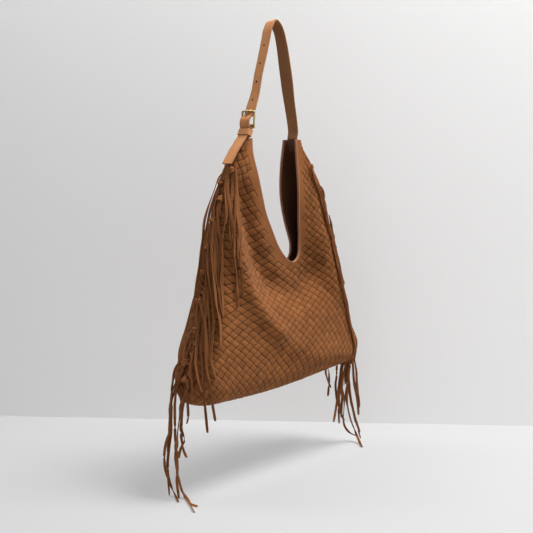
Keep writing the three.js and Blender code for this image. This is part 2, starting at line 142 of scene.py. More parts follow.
class Route:
    """Centripetal curve through points, read by the share of its length."""

    def __init__(self, points: np.ndarray, steps: int = 40) -> None:
        given = np.array(points, float)
        padded = np.vstack([2 * given[0] - given[1], given, 2 * given[-1] - given[-2]])
        t = np.linspace(0.0, 1.0, steps, endpoint=False)[:, None]
        pieces = [self._span(padded[i - 1 : i + 3], t) for i in range(1, len(padded) - 2)]
        self.points = np.vstack([*pieces, given[-1:]])
        run = np.concatenate([[0.0], np.cumsum(np.linalg.norm(np.diff(self.points, axis=0), axis=1))])
        self.length = float(run[-1])
        self.share = run / run[-1]

    @staticmethod
    def _span(four: np.ndarray, t: np.ndarray) -> np.ndarray:
        p0, p1, p2, p3 = four
        d0, d1, d2 = (max(float(np.linalg.norm(b - a)) ** 0.5, 1e-4) for a, b in zip(four, four[1:]))
        start = ((p1 - p0) / d0 - (p2 - p0) / (d0 + d1) + (p2 - p1) / d1) * d1
        end = ((p2 - p1) / d1 - (p3 - p1) / (d1 + d2) + (p3 - p2) / d2) * d1
        square = -3 * p1 + 3 * p2 - 2 * start - end
        cube = 2 * p1 - 2 * p2 + start + end
        return p1 + start * t + square * t**2 + cube * t**3

    def at(self, share: np.ndarray) -> np.ndarray:
        """Read points of the route.

        Args:
            share: Shares of its length, from 0 to 1.

        Returns:
            The points, one row a share.
        """
        columns = [np.interp(share, self.share, column) for column in self.points.T]
        return np.stack(columns, axis=-1)

    def along(self, share: np.ndarray) -> np.ndarray:
        """Read the directions of the route.

        Args:
            share: Shares of its length, from 0 to 1.

        Returns:
            Unit directions, one row a share.
        """
        step = 0.004
        ahead = self.at(np.clip(share + step, 0.0, 1.0))
        behind = self.at(np.clip(share - step, 0.0, 1.0))
        return unit(ahead - behind)


@dataclass(frozen=True)
class Fold:
    """Soft ridge or hollow pressed into a face along a line of (x, height) points."""

    line: tuple[tuple[float, float], ...]
    rise: float
    spread: float

    def lift(self, x: np.ndarray, height: np.ndarray) -> np.ndarray:
        """Read how far the fold lifts the face.

        Args:
            x: Places across the sack.
            height: Heights above its lower edge.

        Returns:
            The lift in millimetres, negative in a hollow.
        """
        route = Route(np.array(self.line), steps=12).points
        nearest = np.full(np.shape(x), np.inf)
        for (ax, ah), (bx, bh) in zip(route, route[1:]):
            dx, dh = bx - ax, bh - ah
            t = np.clip(((x - ax) * dx + (height - ah) * dh) / (dx * dx + dh * dh), 0.0, 1.0)
            nearest = np.minimum(nearest, np.hypot(x - ax - t * dx, height - ah - t * dh))
        return self.rise * np.exp(-((nearest / self.spread) ** 2))


FRONT_FOLDS = (
    Fold(((-121, 290), (-118, 250), (-109, 206), (-95, 168), (-77, 140), (-56, 115), (-34, 96)), 11.0, 17.0),
    Fold(((-12, 80), (16, 64), (52, 52), (99, 38), (147, 26)), 7.0, 24.0),
    Fold(((-86, 310), (-76, 262), (-62, 225), (-44, 192), (-26, 170)), -16.0, 22.0),
    Fold(((0, 154), (24, 146), (51, 152), (74, 180)), -8.0, 20.0),
    Fold(((104, 230), (116, 190), (130, 160), (150, 130)), 4.0, 20.0),
)
BACK_FOLDS = (
    Fold(((-120, 240), (-92, 180), (-50, 130), (10, 92), (70, 88), (130, 110)), 6.0, 24.0),
    Fold(((-60, 230), (-30, 170), (20, 135), (80, 140)), -6.0, 28.0),
)


class Sack:
    """Shape of the sack's sheets, the same as the frame's with soft folds added."""

    half_width = Profile(
        (0, 196.5),
        (0.137 * BODY_HEIGHT, 0.473 * BODY_WIDTH),
        (0.295 * BODY_HEIGHT, 0.42 * BODY_WIDTH),
        (0.483 * BODY_HEIGHT, 0.372 * BODY_WIDTH),
        (0.636 * BODY_HEIGHT, 0.333 * BODY_WIDTH),
        (0.738 * BODY_HEIGHT, 0.308 * BODY_WIDTH),
        (0.819 * BODY_HEIGHT, 0.277 * BODY_WIDTH),
        (0.903 * BODY_HEIGHT, 0.224 * BODY_WIDTH),
        (0.944 * BODY_HEIGHT, 0.192 * BODY_WIDTH),
        (0.968 * BODY_HEIGHT, 0.174 * BODY_WIDTH),
        (BODY_HEIGHT, 62.75),
    )
    shift = Profile(
        (0.76 * BODY_HEIGHT, 0),
        (0.86 * BODY_HEIGHT, -3.5),
        (0.944 * BODY_HEIGHT, -6.5),
        (0.968 * BODY_HEIGHT, -8.3),
        (BODY_HEIGHT, -6.75),
    )
    half_depth = Profile(
        (0, 0.49 * BODY_DEPTH),
        (0.15 * BODY_HEIGHT, 0.5 * BODY_DEPTH),
        (0.31 * BODY_HEIGHT, 0.46 * BODY_DEPTH),
        (0.5 * BODY_HEIGHT, 0.385 * BODY_DEPTH),
        (0.71 * BODY_HEIGHT, 0.31 * BODY_DEPTH),
        (0.9 * BODY_HEIGHT, 0.24 * BODY_DEPTH),
        (BODY_HEIGHT, 15.2),
    )
    half_gape = Profile((197, 11), (225, 11), (250, 14.965), (297, 20.5), (332, 20.5), (BODY_HEIGHT, 14.2))

    def __init__(self) -> None:
        self.outer = Route(self._outer_edge(), steps=60)
        self.mouth = Route(self._mouth_edge(), steps=60)

    def side_x(self, height: np.ndarray, side: int) -> np.ndarray:
        """Read where a side seam stands.

        Args:
            height: Heights above the lower edge.
            side: -1 for the left seam and 1 for the right one.

        Returns:
            The seam's X at each height.
        """
        return self.shift(height) + side * self.half_width(height)

    @staticmethod
    def bottom_height(x: float) -> float:
        """Read the height of the lower edge.

        Args:
            x: Place across the sack.

        Returns:
            Its height there.
        """
        return -7.5 + 0.045 * x + 0.00035 * x * x

    def _outer_edge(self) -> list[tuple[float, float]]:
        heights = [share * BODY_HEIGHT for share in (0.962, 0.92, 0.87, 0.82, 0.72, 0.6, 0.46, 0.3, 0.15)]
        left = [(float(self.side_x(h, -1)), h) for h in (BODY_HEIGHT - 4, *heights)]
        right = [(float(self.side_x(h, 1)), h) for h in (BODY_HEIGHT, *heights)][::-1]
        half = BODY_WIDTH / 2
        corners = []
        for side in (-1, 1):
            low = self.bottom_height(side * (half - 22))
            corner = [(side * (half - 1.76), low + 25.3), (side * (half - 6.6), low + 8.8)]
            corners.append(corner if side < 0 else corner[::-1])
        floor = [(s * half, self.bottom_height(s * half)) for s in (-0.87, -0.6, -0.3, 0, 0.3, 0.6, 0.87)]
        return [*left, *corners[0], *floor, *corners[1], *right]

    @staticmethod
    def _mouth_edge() -> list[tuple[float, float]]:
        left = [(-62, 0.88), (-55, 0.73), (-46, 0.56), (-35, 0.42), (-19.5, 0.3), (-1, 0.172), (17, 0.066)]
        floor = [(32, 0.01), (42, 0), (50, 0.02), (55, 0.06), (56.3, 0.13)]
        right = [(53.5, 0.22), (48.5, 0.33), (44.5, 0.47), (42.3, 0.63), (41.6, 0.8)]
        rise = BODY_HEIGHT - MOUTH_FLOOR
        inner = [(x, MOUTH_FLOOR + share * rise) for x, share in left + floor + right]
        return [(-61.5, BODY_HEIGHT), *inner, (43, BODY_HEIGHT)]

    def sheet(self, w: np.ndarray, row: np.ndarray, inset: float, face: Face) -> np.ndarray:
        """Read points of a sheet.

        Args:
            w: Share along the edges, from the left arm's tip to the right arm's.
            row: Share from the mouth (0) to the seam (1).
            inset: Depth below the outer face in millimetres.
            face: Which face of the sack the sheet lies on.

        Returns:
            Points in millimetres on the frame's axes.
        """
        w, row = np.broadcast_arrays(np.asarray(w, float), np.asarray(row, float))
        mouth = self.mouth.at(w + 0.14 * np.sin(2 * np.pi * w))
        edge = self.outer.at(w - 0.05 * np.sin(2 * np.pi * w))
        full = np.linalg.norm(mouth - edge, axis=-1)
        inward = (mouth - edge) / full[..., None]
        span = full - inset
        rounding = np.maximum(np.minimum(38.0, 0.28 * full) - inset, 0.8)
        turn = (np.pi / 2) * (1 - np.maximum(0, (row - 0.5) / 0.5))
        from_mouth = np.minimum(row / 0.5, 1) * (span - rounding)
        from_edge = np.where(row < 0.5, span - from_mouth, rounding * (1 - np.cos(turn)))
        flat = edge + inward * (inset + from_edge)[..., None]
        belly = (self.half_depth(flat[..., 1]) - inset) * np.sin(turn)
        gape = self.half_gape(mouth[..., 1]) - inset
        reach = np.minimum(110.0, 0.62 * full)
        depth = gape + (belly - gape) * smooth((span - from_edge) / reach)
        folds = FRONT_FOLDS if face is Face.FRONT else BACK_FOLDS
        lift = sum(fold.lift(flat[..., 0], flat[..., 1]) for fold in folds)
        ease = smooth((span - from_edge) / 45.0) * np.sin(turn)
        depth = np.where(row >= 1, 0.0, depth + lift * ease)
        return np.stack([flat[..., 0], face.value * (depth + 0.2), BASE_LEVEL + flat[..., 1]], axis=-1)


SACK = Sack()
SURFACE_SHARES = np.linspace(0, 1, 240)[:, None], np.linspace(0, 0.97, 90)[None]
SURFACES = {face: SACK.sheet(*SURFACE_SHARES, 0.0, face).reshape(-1, 3) for face in Face}


def grid_normals(points: np.ndarray, outward_y: int) -> np.ndarray:
    """Read the normals of a grid of points.

    Args:
        points: Points, rows by columns by three.
        outward_y: Sign of Y that the normals keep to.

    Returns:
        Unit normals of the same shape.
    """
    normals = np.cross(np.gradient(points, axis=0), np.gradient(points, axis=1))
    middle = normals[normals.shape[0] // 2, normals.shape[1] // 4, 1]
    return unit(normals * (outward_y if middle > 0 else -outward_y))


def make_mesh(name: str, points: np.ndarray, faces: np.ndarray) -> bpy.types.Object:
    """Make an object from points and faces.

    Args:
        name: The object's name.
        points: Points in millimetres on the frame's axes.
        faces: Corner indices, one row a face, all with the same count.

    Returns:
        The linked object, at the origin.
    """
    corners = faces.shape[1]
    mesh = bpy.data.meshes.new(name)
    mesh.vertices.add(len(points))
    mesh.vertices.foreach_set("co", (points * MM).astype(np.float32).ravel())
    mesh.loops.add(faces.size)
    mesh.loops.foreach_set("vertex_index", faces.astype(np.int32).ravel())
    mesh.polygons.add(len(faces))
    mesh.polygons.foreach_set("loop_start", np.arange(0, faces.size, corners, dtype=np.int32))
    mesh.polygons.foreach_set("use_smooth", np.full(len(faces), True))
    mesh.update(calc_edges=True)
    mesh.validate()
    obj = bpy.data.objects.new(name, mesh)
    bpy.context.scene.collection.objects.link(obj)
    return obj


def set_values(obj: bpy.types.Object, name: str, values: np.ndarray) -> None:
    """Store one number a vertex on an object.

    Args:
        obj: The object.
        name: Name of the attribute.
        values: One value a vertex.
    """
    attribute = obj.data.attributes.new(name, "FLOAT", "POINT")
    attribute.data.foreach_set("value", values.astype(np.float32).ravel())


def grid_faces(columns: int, rows: int) -> np.ndarray:
    """Number the quads of a grid of points.

    Args:
        columns: Points along the first axis.
        rows: Points along the second axis.

    Returns:
        Corner indices, four a quad.
    """
    index = np.arange(columns * rows).reshape(columns, rows)
    quads = [index[:-1, :-1], index[1:, :-1], index[1:, 1:], index[:-1, 1:]]
    return np.stack([quad.ravel() for quad in quads], axis=-1)


def finish_piece(obj: bpy.types.Object, material: bpy.types.Material, body: str) -> None:
    """Give a piece its material and body.

    Args:
        obj: The piece.
        material: Its material.
        body: The body that it rides on.
    """
    obj.data.materials.clear()
    obj.data.materials.append(material)
    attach(obj, body)
    log.info("%s: %d faces", obj.name, len(obj.data.polygons))


@dataclass(frozen=True)
class Socket:
    """Input of a node group."""

    name: str
    kind: str
    default: object


class NapGroup:
    """Node group for napped leather: a mottled colour, a roughness and a bump height."""

    def __init__(self) -> None:
        self.tree = bpy.data.node_groups.new("Nap", "ShaderNodeTree")
        inputs = (
            Socket("Color", "NodeSocketColor", (0.3, 0.14, 0.06, 1.0)),
            Socket("Mottle", "NodeSocketFloat", 0.15),
            Socket("Grain", "NodeSocketFloat", 900.0),
            Socket("Tint", "NodeSocketFloat", 0.0),
        )
        for socket in inputs:
            made = self.tree.interface.new_socket(socket.name, in_out="INPUT", socket_type=socket.kind)
            made.default_value = socket.default
        outputs = {"Color": "NodeSocketColor", "Roughness": "NodeSocketFloat", "Height": "NodeSocketFloat"}
        for name, kind in outputs.items():
            self.tree.interface.new_socket(name, in_out="OUTPUT", socket_type=kind)
        self._wire()

    def _noise(self, place: bpy.types.NodeSocket, scale: float, detail: float) -> bpy.types.Node:
        noise = self.tree.nodes.new("ShaderNodeTexNoise")
        noise.inputs["Scale"].default_value = scale
        noise.inputs["Detail"].default_value = detail
        self.tree.links.new(place, noise.inputs["Vector"])
        return noise

    def _math(self, operation: str, first: object, second: object) -> bpy.types.NodeSocket:
        node = self.tree.nodes.new("ShaderNodeMath")
        node.operation = operation
        for socket, value in zip(node.inputs, (first, second)):
            if isinstance(value, (int, float)):
                socket.default_value = value
            else:
                self.tree.links.new(value, socket)
        return node.outputs[0]

    def _wire(self) -> None:
        nodes, links = self.tree.nodes, self.tree.links
        entry = nodes.new("NodeGroupInput")
        leave = nodes.new("NodeGroupOutput")
        place = nodes.new("ShaderNodeTexCoord").outputs["Object"]
        cloud = self._noise(place, 38.0, 4.0)
        speck = self._noise(place, 420.0, 2.0)
        fibre = self._noise(place, 900.0, 2.0)
        links.new(entry.outputs["Grain"], fibre.inputs["Scale"])
        centred = self._math("SUBTRACT", cloud.outputs["Fac"], 0.5)
        fine = self._math("SUBTRACT", speck.outputs["Fac"], 0.5)
        both = self._math("ADD", self._math("MULTIPLY", centred, 1.3), self._math("MULTIPLY", fine, 0.9))
        mottled = self._math("MULTIPLY", both, entry.outputs["Mottle"])
        shade = self._math("ADD", self._math("ADD", mottled, 1.0), entry.outputs["Tint"])
        scale = nodes.new("ShaderNodeVectorMath")
        scale.operation = "SCALE"
        links.new(entry.outputs["Color"], scale.inputs[0])
        links.new(shade, scale.inputs["Scale"])
        links.new(scale.outputs[0], leave.inputs["Color"])
        links.new(self._math("ADD", self._math("MULTIPLY", centred, 0.16), 0.86), leave.inputs["Roughness"])
        links.new(fibre.outputs["Fac"], leave.inputs["Height"])


@dataclass(frozen=True)
class Nap:
    """Finish of a napped or satin leather."""

    name: str
    color: tuple[float, float, float]
    mottle: float
    bump: float
    sheen: float
    specular: float
    tint_attribute: str = ""

    def make(self, group: NapGroup) -> bpy.types.Material:
        """Make the material.

        Args:
            group: The shared node group.

        Returns:
            The material.
        """
        material = bpy.data.materials.new(self.name)
        material.use_nodes = True
        nodes, links = material.node_tree.nodes, material.node_tree.links
        shader = nodes["Principled BSDF"]
        nap = nodes.new("ShaderNodeGroup")
        nap.node_tree = group.tree
        nap.inputs["Color"].default_value = (*self.color, 1.0)
        nap.inputs["Mottle"].default_value = self.mottle
        if self.tint_attribute:
            tint = nodes.new("ShaderNodeAttribute")
            tint.attribute_name = self.tint_attribute
            links.new(tint.outputs["Fac"], nap.inputs["Tint"])
        bump = nodes.new("ShaderNodeBump")
        bump.inputs["Strength"].default_value = self.bump
        bump.inputs["Distance"].default_value = 0.0004
        links.new(nap.outputs["Height"], bump.inputs["Height"])
        links.new(nap.outputs["Color"], shader.inputs["Base Color"])
        links.new(nap.outputs["Roughness"], shader.inputs["Roughness"])
        links.new(bump.outputs["Normal"], shader.inputs["Normal"])
        shader.inputs["Specular IOR Level"].default_value = self.specular
        shader.inputs["Sheen Weight"].default_value = self.sheen
        shader.inputs["Sheen Roughness"].default_value = 0.45
        shader.inputs["Sheen Tint"].default_value = (1.0, 0.72, 0.5, 1.0)
        return material


@dataclass(frozen=True)
class Brass:
    """Finish of aged cast brass."""

    name: str = "antique_brass"
    color: tuple[float, float, float] = (0.56, 0.43, 0.24)
    roughness: float = 0.3

    def make(self) -> bpy.types.Material:
        """Make the material.

        Returns:
            The material.
        """
        material = bpy.data.materials.new(self.name)
        material.use_nodes = True
        nodes, links = material.node_tree.nodes, material.node_tree.links
        shader = nodes["Principled BSDF"]
        place = nodes.new("ShaderNodeTexCoord")
        noise = nodes.new("ShaderNodeTexNoise")
        noise.inputs["Scale"].default_value = 260.0
        noise.inputs["Detail"].default_value = 3.0
        links.new(place.outputs["Object"], noise.inputs["Vector"])
        ramp = nodes.new("ShaderNodeMapRange")
        ramp.inputs["To Min"].default_value = self.roughness - 0.08
        ramp.inputs["To Max"].default_value = self.roughness + 0.12
        links.new(noise.outputs["Fac"], ramp.inputs["Value"])
        links.new(ramp.outputs["Result"], shader.inputs["Roughness"])
        shader.inputs["Base Color"].default_value = (*self.color, 1.0)
        shader.inputs["Metallic"].default_value = 1.0
        return material


@dataclass
class Finishes:
    """Every material of the bag."""

    woven: bpy.types.Material
    lining: bpy.types.Material
    raw_edge: bpy.types.Material
    lace: bpy.types.Material
    leather: bpy.types.Material
    brass: bpy.types.Material

    @classmethod
    def make(cls) -> "Finishes":
        """Make every material.

        Returns:
            The finishes.
        """
        group = NapGroup()
        woven = Nap("woven_suede", (0.247, 0.090, 0.028), mottle=0.34, bump=0.5, sheen=0.10, specular=0.12)
        lining = Nap("lining_suede", (0.125, 0.048, 0.023), mottle=0.25, bump=0.35, sheen=0.06, specular=0.1)
        raw_edge = Nap("raw_edge", (0.34, 0.165, 0.098), mottle=0.2, bump=0.4, sheen=0.05, specular=0.1)
        lace = Nap("lace_suede", (0.230, 0.086, 0.030), mottle=0.35, bump=0.5, sheen=0.10, specular=0.12)
        leather = Nap("strap_leather", (0.55, 0.240, 0.096), mottle=0.14, bump=0.3, sheen=0.03, specular=0.3)
        woven, lace, leather = (replace(nap, tint_attribute="tint") for nap in (woven, lace, leather))
        made = {nap.name: nap.make(group) for nap in (woven, lining, raw_edge, lace, leather)}
        return cls(*made.values(), Brass().make())


class FlatPanel:
    """Face of the sack laid flat, for finding where each strip of the weave lies on it."""

    rightward = np.array([6.658, 11.307, 0.676, -0.135, 0.700, 1.290, -0.294, 3.049, -0.749])
    leftward = np.array([-6.637, 12.553, -2.313, 0.032, -1.056, -0.333, -2.294, -2.186, 0.253])
    unit_length = 150.0

    def __init__(self, face: Face, columns: int = 260, rows: int = 90) -> None:
        w, row = np.linspace(0, 1, columns)[:, None], np.linspace(0, 1, rows)[None, :]
        points = SACK.sheet(w, row, 0.0, face)
        steps = np.linalg.norm(np.diff(points, axis=1), axis=-1)
        run = np.concatenate([np.zeros((columns, 1)), np.cumsum(steps, axis=1)], axis=1)
        self.weave = self._strips(points, run).reshape(-1, 2)
        self.points = points.reshape(-1, 3)
        self.normals = grid_normals(points, face.value).reshape(-1, 3)
        self.run = (run - self.border(w)).ravel()
        self.quads = grid_faces(columns, rows)
        corners = np.c_[self.weave, np.zeros(len(self.weave))]
        self.tree = BVHTree.FromPolygons(corners.tolist(), self.quads.tolist())

    @staticmethod
    def border(w: np.ndarray) -> np.ndarray:
        """Read the width of the plain border round the mouth.

        Args:
            w: Share along the mouth.

        Returns:
            The border's width in millimetres.
        """
        places, widths = (0.0, 0.1, 0.35, 0.5, 0.62, 0.75, 1.0), (15, 18, 17, 11, 9, 12, 13)
        return np.interp(w, places, widths)

    def _strips(self, points: np.ndarray, run: np.ndarray) -> np.ndarray:
        """Count strips across the flat panel, as the hung panel's drape has drawn them out.

        Args:
            points: Grid of the panel's points.
            run: Each point's run from the mouth.

        Returns:
            Strips counted up to the right and up to the left.
        """
        mouth, edge = points[:, :1, ::2], points[:, -1:, ::2]
        flat = mouth + unit(edge - mouth) * run[..., None]
        x, y = flat[..., 0] / self.unit_length, (flat[..., 1] - BASE_LEVEL) / self.unit_length - 1.0
        terms = np.stack([x, y, x * x, x * y, y * y, x**3, x * x * y, x * y * y, y**3], axis=-1)
        return np.stack([terms @ self.rightward, terms @ self.leftward], axis=-1)

    def find(self, spots: np.ndarray) -> "Found":
        """Find spots of the weave on the panel.

        Args:
            spots: Strip counts, one pair a spot.

        Returns:
            What lies at each spot, or at the nearest point of the panel.
        """
        found = [self.tree.find_nearest((a, b, 0.0)) for a, b in spots]
        hits = np.array([hit[0][:2] for hit in found])
        corners = self.quads[np.array([hit[2] for hit in found])]
        shares = quad_shares(self.weave[corners], hits)
        return Found(
            point=(self.points[corners] * shares[..., None]).sum(1),
            normal=unit((self.normals[corners] * shares[..., None]).sum(1)),
            run=(self.run[corners] * shares).sum(1),
            gap=np.array([hit[3] for hit in found]),
        )


@dataclass
class Found:
    """What lies at spots of the weave: points, normals, run from the border and gap outside the panel."""

    point: np.ndarray
    normal: np.ndarray
    run: np.ndarray
    gap: np.ndarray


@dataclass
class WovenPanel:
    """Face of the sack, woven over and under from flat strips, with a plain border round the mouth."""

    face: Face
    crest: float = 0.45
    dip: float = -1.1
    lines: tuple[float, ...] = (0.04, 0.12, 0.3, 0.5, 0.7, 0.88, 0.96)
    seed: int = 7
    # Painted shade in the hollow round the mouth: how dark it is, how far from the border it reaches, and the
    # height above which it mostly fades.
    mouth_shade: float = -0.22
    mouth_shade_reach: float = 95.0
    unshaded_height: float = 205.0
    tables: int = 400

    def _lattice(self, weave: np.ndarray) -> tuple[np.ndarray, np.ndarray]:
        """Lay out lattice lines, closer together at the strips' edges.

        Args:
            weave: Strip counts that the lattice covers.

        Returns:
            Line positions along each set of strips.
        """
        lines = np.array(self.lines)
        axes = []
        for first, last in zip(np.floor(weave.min(0)), np.ceil(weave.max(0))):
            axes.append((np.arange(first, last)[:, None] + lines[None, :]).ravel())
        return axes[0], axes[1]

    def _relief(self, spots: np.ndarray) -> tuple[np.ndarray, np.ndarray]:
        """Read the weave's height and tint.

        Args:
            spots: Strip counts.

        Returns:
            Heights in millimetres and tints of the strip on top.
        """
        rng = np.random.default_rng(self.seed)
        cell = np.floor(spots).astype(int)
        within = spots - cell
        over = cell.sum(axis=1) % 2 == 0
        along = np.where(over, within[:, 0], within[:, 1])
        across = np.where(over, within[:, 1], within[:, 0])
        strips = rng.normal(0.0, 0.04, (2, self.tables))
        cells, lifts, tilts = rng.normal(0.0, 1.0, (3, self.tables, self.tables))
        a, b = ((cell + self.tables // 2) % self.tables).T
        arch = 1.0 - np.abs(2 * along - 1) ** 5
        height = self.dip + (self.crest - self.dip) * arch * (1.0 - 0.35 * np.abs(2 * across - 1) ** 8)
        height = height + 0.10 * lifts[a, b] + 0.18 * tilts[a, b] * (across - 0.5)
        tint = np.where(over, strips[0, b] + 0.03, strips[1, a] - 0.03) + 0.05 * cells[a, b]
        # Painted shade: the tint darkens where a strip dips under its neighbours, at its ends and along its
        # sides.
        gap_shade_along = smooth((0.12 - np.minimum(along, 1 - along)) / 0.12)
        gap_shade_across = smooth((0.08 - np.minimum(across, 1 - across)) / 0.08)
        return height, tint - 0.7 * gap_shade_along - 0.5 * gap_shade_across

    def build(self, material: bpy.types.Material) -> bpy.types.Object:
        """Build the panel.

        Args:
            material: The woven suede.

        Returns:
            The panel.
        """
        panel = FlatPanel(self.face)
        lines = self._lattice(panel.weave)
        spots = np.stack(np.meshgrid(*lines, indexing="ij"), axis=-1).reshape(-1, 2)
        faces = grid_faces(len(lines[0]), len(lines[1]))
        near = panel.find(spots)
        faces = faces[(near.gap < 1e-3)[faces].any(axis=1)]
        used, faces = np.unique(faces, return_inverse=True)
        faces = faces.reshape(-1, 4)
        height, tint = self._relief(spots[used])
        middles = panel.find(np.floor(spots[used]) + 0.5)
        woven = (middles.run > 0) & (middles.gap < 1.0)
        points = near.point[used] + near.normal[used] * np.where(woven, height, 0.15)[:, None]
        name = self.face.name.lower()
        made = make_mesh(f"{name}_weave", points, faces if self.face is Face.FRONT else faces[:, ::-1])
        # Painted shade: the tint darkens towards the plain border round the mouth, most of all below the
        # given height.
        low = 1.0 - 0.85 * smooth((near.point[used, 2] - BASE_LEVEL - self.unshaded_height) / 50.0)
        painted_mouth_shade = self.mouth_shade * low * (1.0 - smooth((near.run[used] + 15.0) / self.mouth_shade_reach))
        set_values(made, "tint", np.where(woven, tint, 0.03) + painted_mouth_shade)
        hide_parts(f"{name}_panel")
        finish_piece(made, material, "bag")
        return made


def quad_shares(corners: np.ndarray, spots: np.ndarray) -> np.ndarray:
    """Weigh a quad's corners at a spot inside it.

    Args:
        corners: Corners of each quad in the plane.
        spots: One spot a quad.

    Returns:
        Four weights a quad, which add up to one.
    """
    s = np.full(len(spots), 0.5)
    t = np.full(len(spots), 0.5)
    a, b, c, d = (corners[:, k] for k in range(4))
    for _ in range(6):
        place = (1 - s)[:, None] * ((1 - t)[:, None] * a + t[:, None] * d)
        place = place + s[:, None] * ((1 - t)[:, None] * b + t[:, None] * c)
        miss = spots - place
        ds = (1 - t)[:, None] * (b - a) + t[:, None] * (c - d)
        dt = (1 - s)[:, None] * (d - a) + s[:, None] * (c - b)
        cross = ds[:, 0] * dt[:, 1] - ds[:, 1] * dt[:, 0]
        cross = np.where(np.abs(cross) < 1e-12, 1e-12, cross)
        s = np.clip(s + (miss[:, 0] * dt[:, 1] - miss[:, 1] * dt[:, 0]) / cross, 0, 1)
        t = np.clip(t + (ds[:, 0] * miss[:, 1] - ds[:, 1] * miss[:, 0]) / cross, 0, 1)
    return np.stack([(1 - s) * (1 - t), s * (1 - t), s * t, (1 - s) * t], axis=-1)


@dataclass
class Lining:
    """Smooth dark sheet inside a face of the sack."""

    face: Face
    inset: float = 2.9
    columns: int = 120
    rows: int = 40

    def build(self, material: bpy.types.Material) -> bpy.types.Object:
        """Build the lining.

        Args:
            material: The lining's suede.

        Returns:
            The lining.
        """
        w, row = np.linspace(0, 1, self.columns)[:, None], np.linspace(0, 0.999, self.rows)[None, :]
        points = SACK.sheet(w, row, self.inset, self.face).reshape(-1, 3)
        faces = grid_faces(self.columns, self.rows)
        if self.face is Face.FRONT:
            faces = faces[:, ::-1]
        name = self.face.name.lower()
        sheet = make_mesh(f"{name}_lining_sheet", points, faces)
        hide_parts(f"{name}_lining")
        finish_piece(sheet, material, "bag")
        return sheet


def sweep(
    points: np.ndarray, sides: np.ndarray, ups: np.ndarray, outline: np.ndarray
) -> tuple[np.ndarray, np.ndarray]:
    """Sweep a closed outline along points.

    Args:
        points: Centre of each ring.
        sides: Unit direction of the outline's first axis at each ring.
        ups: Unit direction of its second axis at each ring.
        outline: Outline in millimetres, either one for every ring or one a ring.

    Returns:
        Points and quads, with the ends closed by a fan of quads.
    """
    outlines = np.broadcast_to(outline, (len(points), *outline.shape[-2:]))
    rings = points[:, None] + sides[:, None] * outlines[..., :1] + ups[:, None] * outlines[..., 1:]
    count = rings.shape[1]
    index = np.arange(len(points) * count).reshape(len(points), count)
    after = np.roll(index, -1, axis=1)
    walls = [index[:-1], after[:-1], after[1:], index[1:]]
    faces = np.stack([wall.ravel() for wall in walls], axis=-1)
    half = count // 2
    caps = []
    for ring, flip in ((index[0], True), (index[-1], False)):
        for k in range(half - 1):
            quad = [ring[k], ring[k + 1], ring[count - 2 - k], ring[count - 1 - k]]
            caps.append(quad[::-1] if flip else quad)
    return rings.reshape(-1, 3), np.vstack([faces, caps])


def strip_outline(width: float, thickness: float) -> np.ndarray:
    """Draw the outline of a flat strip with softened corners.

    Args:
        width: Its width in millimetres.
        thickness: Its thickness in millimetres.

    Returns:
        Eight outline points.
    """
    a, b = width / 2, thickness / 2
    c = 0.45 * b
    lower = [(-a, -b + c), (-a + c, -b), (a - c, -b), (a, -b + c)]
    upper = [(a, b - c), (a - c, b), (-a + c, b), (-a, b - c)]
    return np.array(lower + upper)


@dataclass
class Rim:
    """Raw edge of panel and lining, sewn together round the mouth."""

    face: Face
    depth: float = 2.6

    def build(self, material: bpy.types.Material) -> bpy.types.Object:
        """Build the rim.

        Args:
            material: The raw edge's suede.

        Returns:
            The rim.
        """
        w = np.linspace(0, 1, 260)
        outer = SACK.sheet(w, 0.0, 0.0, self.face)
        inner = SACK.sheet(w, 0.0, SHEET_STACK, self.face)
        beyond = SACK.sheet(w, 0.02, 0.0, self.face)
        into = unit(beyond - outer)
        through = unit(inner - outer)
        centre = (outer + inner) / 2 + into * (self.depth / 2 - 0.8)
        outline = strip_outline(SHEET_STACK + 0.7, self.depth)
        points, faces = sweep(centre, through, into, outline)
        rim = make_mesh(f"{self.face.name.lower()}_rim", points, faces)
        finish_piece(rim, material, "bag")
        return rim


def seat_point(height: float, side: int, thickness: float) -> np.ndarray:
    """Find where a strap sewn inside an arm runs.

    Args:
        height: Height above the lower edge.
        side: -1 for the left arm and 1 for the right one.
        thickness: The strap's thickness.

    Returns:
        A point of its centre line.
    """
    slope = float(SACK.side_x(height - 4, side) - SACK.side_x(height, side)) / 4
    clearance = 0.45 + (0.9 if side > 0 else 0.0)
    inset = (SHEET_STACK + clearance + thickness / 2) * math.hypot(1, slope)
    return np.array([float(SACK.side_x(height, side)) - side * inset, 0.0, BASE_LEVEL + height])


